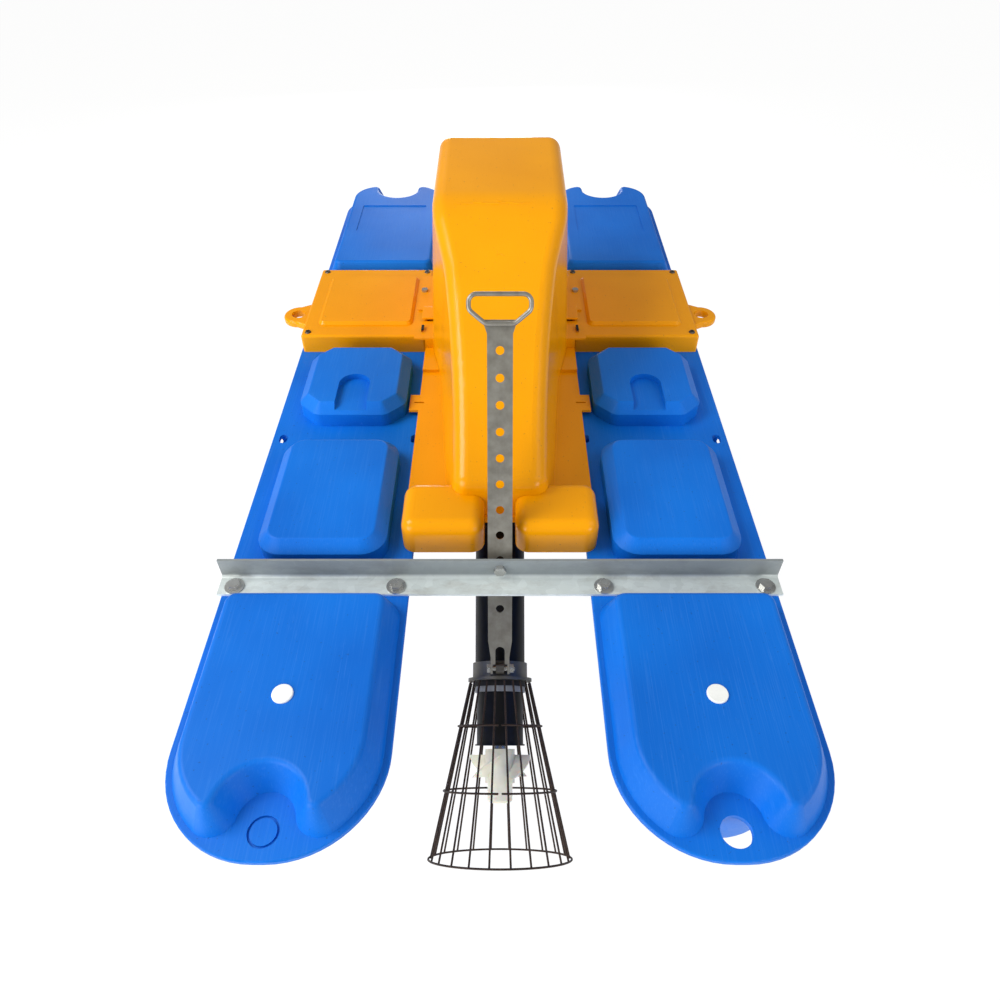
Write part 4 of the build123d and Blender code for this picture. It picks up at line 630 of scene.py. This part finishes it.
class JETAERATOR_OT_stage(bpy.types.Operator):
    """Floor, sky, lamps and the camera at the photograph's angle"""

    bl_idname = "jetaerator.stage"
    bl_label = "Stage"

    def execute(self, context):
        settings = context.scene.jet_aerator
        corners = [(x * FLOOR_REACH, y * FLOOR_REACH, -settings.floor_depth)
                   for x, y in ((-1, -1), (1, -1), (1, 1), (-1, 1))]
        mesh = bpy.data.meshes.new("floor")
        mesh.from_pydata(corners, [], [(0, 1, 2, 3)])
        # The camera sees the floor lit from within, so that it is white and still takes a shadow
        material, tree, _ = new_material("matt_white_floor")
        path = add(tree, "ShaderNodeLightPath")
        share = add(tree, "ShaderNodeMath", {0: path.outputs["Is Camera Ray"], 1: FLOOR_GLOW_SHARE},
                    operation="MULTIPLY")
        diffuse = add(tree, "ShaderNodeBsdfDiffuse", {"Color": (*settings.floor_colour, 1)})
        glow = add(tree, "ShaderNodeEmission", {"Color": WHITE, "Strength": FLOOR_GLOW})
        mix = add(tree, "ShaderNodeMixShader", {0: share, 1: diffuse, 2: glow})
        add(tree, "ShaderNodeOutputMaterial", {"Surface": mix})
        mesh.materials.append(material)
        as_piece("floor", mesh)

        # The sky is white to the camera, and softer in reflections than as light, so that the
        # plastics keep their colour
        world = bpy.data.worlds.new("studio")
        world.use_nodes = True
        sky = world.node_tree
        background = sky.nodes["Background"]
        background.inputs["Color"].default_value = WHITE
        path = add(sky, "ShaderNodeLightPath")
        level = add(sky, "ShaderNodeMapRange", {"Value": path.outputs["Is Glossy Ray"],
                                                "To Min": SKY_LIGHT, "To Max": SKY_IN_REFLECTIONS})
        seen = add(sky, "ShaderNodeMath", {0: level, 1: path.outputs["Is Camera Ray"]},
                   operation="MAXIMUM")
        sky.links.new(seen.outputs[0], background.inputs["Strength"])
        context.scene.world = world

        target = Vector((0, 0, DECK_Z))
        for name, place, side, power in LAMPS:
            light = bpy.data.lights.new(name, "AREA")
            light.shape = "SQUARE"
            light.size = side
            light.energy = power
            lamp = bpy.data.objects.new(name, light)
            lamp.location = place
            lamp.rotation_euler = (target - Vector(place)).to_track_quat("-Z", "Y").to_euler()
            context.collection.objects.link(lamp)

        lens = bpy.data.cameras.new("photo_camera")
        lens.sensor_width = CAMERA_SENSOR
        lens.lens = CAMERA_LENS
        camera = bpy.data.objects.new("photo_camera", lens)
        camera.location = CAMERA_PLACE
        camera.rotation_euler = (math.radians(90 - CAMERA_PITCH), 0, 0)
        context.collection.objects.link(camera)
        context.scene.camera = camera
        context.scene.view_settings.view_transform = "Standard"
        return {"FINISHED"}


class JETAERATOR_OT_floats(bpy.types.Operator):
    """Blue moulded floats with their plugs and inserts"""

    bl_idname = "jetaerator.floats"
    bl_label = "Floats"

    def execute(self, context):
        dress("float_blue", "plug_white", "brass")
        return {"FINISHED"}


class JETAERATOR_OT_body(bpy.types.Operator):
    """Yellow cross boxes, tray and hood, with the hood's ridges, lips and latch tongues"""

    bl_idname = "jetaerator.body"
    bl_label = "Yellow body"

    def execute(self, context):
        dress("body_yellow")
        yellow = finish_of("body_yellow")
        random.seed(4)
        pucker = [on_surface("hood", x * MM, CREASE_Y + random.uniform(-PUCKER_WANDER, PUCKER_WANDER))
                  for x in PUCKER_PLACES]
        pieces = [raised_line("hood_pucker", pucker, PUCKER_RADIUS, yellow)]
        for name, y, bend in MARKS:
            turns = [math.radians(angle) for angle in MARK_ANGLES]
            arc = [on_surface("hood", MARK_RADIUS * math.cos(turn), y + bend * MARK_RADIUS * math.sin(turn))
                   for turn in turns]
            pieces.append(raised_line(name, arc, MARK_RIDGE_RADIUS, yellow))
        # A lip closes the gap between each latch plate and the tab behind it
        box_low, box_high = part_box("cross_box_right")
        inner, near, top = box_low[0], box_low[1], box_high[2]
        for side, name in ((-1, "left"), (1, "right")):
            across = sorted((side * (inner - LIP_REACH), side * (inner + LIP_LAP)))
            low = (across[0], near + PLATE_LENGTH, top + PLATE_CLEARANCE)
            high = (across[1], near + TAB_START, top + LIP_HEIGHT)
            pieces.append(rounded_block("hood_lip_" + name, low, high, LIP_EDGE, yellow))
        for piece in pieces:
            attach(piece, "raft")
        # The dark tongue of the latch shows in the window of each latch plate
        for side, name in ((-1, "left"), (1, "right")):
            middle = Vector((side * WINDOW_X, near + WINDOW_Y, top))
            low = middle + Vector((-TONGUE_HALF_WIDTH, -TONGUE_HALF_LENGTH, PLATE_CLEARANCE))
            high = middle + Vector((TONGUE_HALF_WIDTH, TONGUE_HALF_LENGTH, TONGUE_HEIGHT))
            tongue = rounded_block("latch_tongue_" + name, low, high, TONGUE_EDGE,
                                   finish_of("plastic_black"))
            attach(tongue, "raft")
        return {"FINISHED"}


class JETAERATOR_OT_steelwork(bpy.types.Operator):
    """Cross angle, strap and fasteners, with socket screws in place of the plain CAD ones"""

    bl_idname = "jetaerator.steelwork"
    bl_label = "Steelwork"

    def execute(self, context):
        dress("zinc", "strap_steel", "bolt_steel")
        screws = island_boxes("box_screws")
        # Each screw stands on the underside of its head
        places = [((a.x + b.x) / 2, (a.y + b.y) / 2, b.z - SCREW_HEAD_HEIGHT) for a, b in screws]
        low, high = screws[0]
        sizes = {"Head radius": (high.x - low.x) / 2, "Head height": SCREW_HEAD_HEIGHT,
                 "Shank radius": SCREW_SHANK_RADIUS, "Shank length": high.z - SCREW_HEAD_HEIGHT - low.z,
                 "Socket radius": SCREW_SOCKET_RADIUS, "Socket depth": SCREW_SOCKET_DEPTH}
        tree = screw_tree(sizes, finish_of("dull_steel"))
        piece = run_tree(tree, "socket_screws", sizes, places)
        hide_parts("box_screws")
        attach(piece, "raft")
        return {"FINISHED"}


class JETAERATOR_OT_drive(bpy.types.Operator):
    """Motor, tube, outlet and impeller"""

    bl_idname = "jetaerator.drive"
    bl_label = "Drive"

    def execute(self, context):
        dress("dull_steel", "cast_grey", "core_steel", "ground_steel", "tube_black", "plastic_black",
              "rubber_black", "plastic_grey", "nylon_cream", "rusty_wire")
        return {"FINISHED"}


class JETAERATOR_OT_cage(bpy.types.Operator):
    """Round wire cage in place of the plain CAD one"""

    bl_idname = "jetaerator.cage"
    bl_label = "Wire cage"

    def execute(self, context):
        settings = context.scene.jet_aerator
        radius = settings.wire_diameter / 2
        low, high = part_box("guard_cage")
        # The mouth ring is the widest part, so the box's width gives its radius
        mouth_radius = (high[0] - low[0]) / 2 - radius
        # The ring's lowest point is the box's, so the mouth's middle is this far below the pivot
        drop = PIVOT.z - low[2] - radius + DRIVE_AXIS.y * mouth_radius
        mouth = -drop / DRIVE_AXIS.z
        turn = Matrix((Vector((1, 0, 0)), DRIVE_UP, DRIVE_AXIS)).transposed().to_euler()
        sizes = {"Wires": settings.wire_count, "Wire radius": radius, "Top radius": CAGE_TOP_RADIUS,
                 "Mouth radius": mouth_radius, "Length": CAGE_LENGTH, "First tie": FIRST_TIE,
                 "Second tie": SECOND_TIE, "Ring gap": settings.ring_gap,
                 "Place": PIVOT + DRIVE_AXIS * (mouth - CAGE_LENGTH), "Turn": Vector(turn)}
        piece = run_tree(cage_tree(sizes, finish_of("rusty_wire")), "wire_cage", sizes)
        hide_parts("guard_cage")
        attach(piece, "drive_unit")
        return {"FINISHED"}


class JETAERATOR_PT_panel(bpy.types.Panel):
    """Settings, and a button for every group of pieces"""

    bl_label = "Jet aerator"
    bl_idname = "JETAERATOR_PT_panel"
    bl_space_type = "VIEW_3D"
    bl_region_type = "UI"
    bl_category = "Jet aerator"

    def draw(self, context):
        for name in JetAeratorSettings.__annotations__:
            self.layout.prop(context.scene.jet_aerator, name)
        for step in STEPS:
            self.layout.operator(step.bl_idname)


STEPS = (JETAERATOR_OT_stage, JETAERATOR_OT_floats, JETAERATOR_OT_body, JETAERATOR_OT_steelwork,
         JETAERATOR_OT_drive, JETAERATOR_OT_cage)
CLASSES = (JetAeratorSettings, *STEPS, JETAERATOR_PT_panel)


def register():
    for each in CLASSES:
        bpy.utils.register_class(each)
    bpy.types.Scene.jet_aerator = PointerProperty(type=JetAeratorSettings)


def unregister():
    del bpy.types.Scene.jet_aerator
    for each in reversed(CLASSES):
        bpy.utils.unregister_class(each)


def main():
    """Builds everything."""
    register()
    for step in STEPS:
        group, name = step.bl_idname.split(".")
        getattr(getattr(bpy.ops, group), name)()


if __name__ == "__main__":
    main()
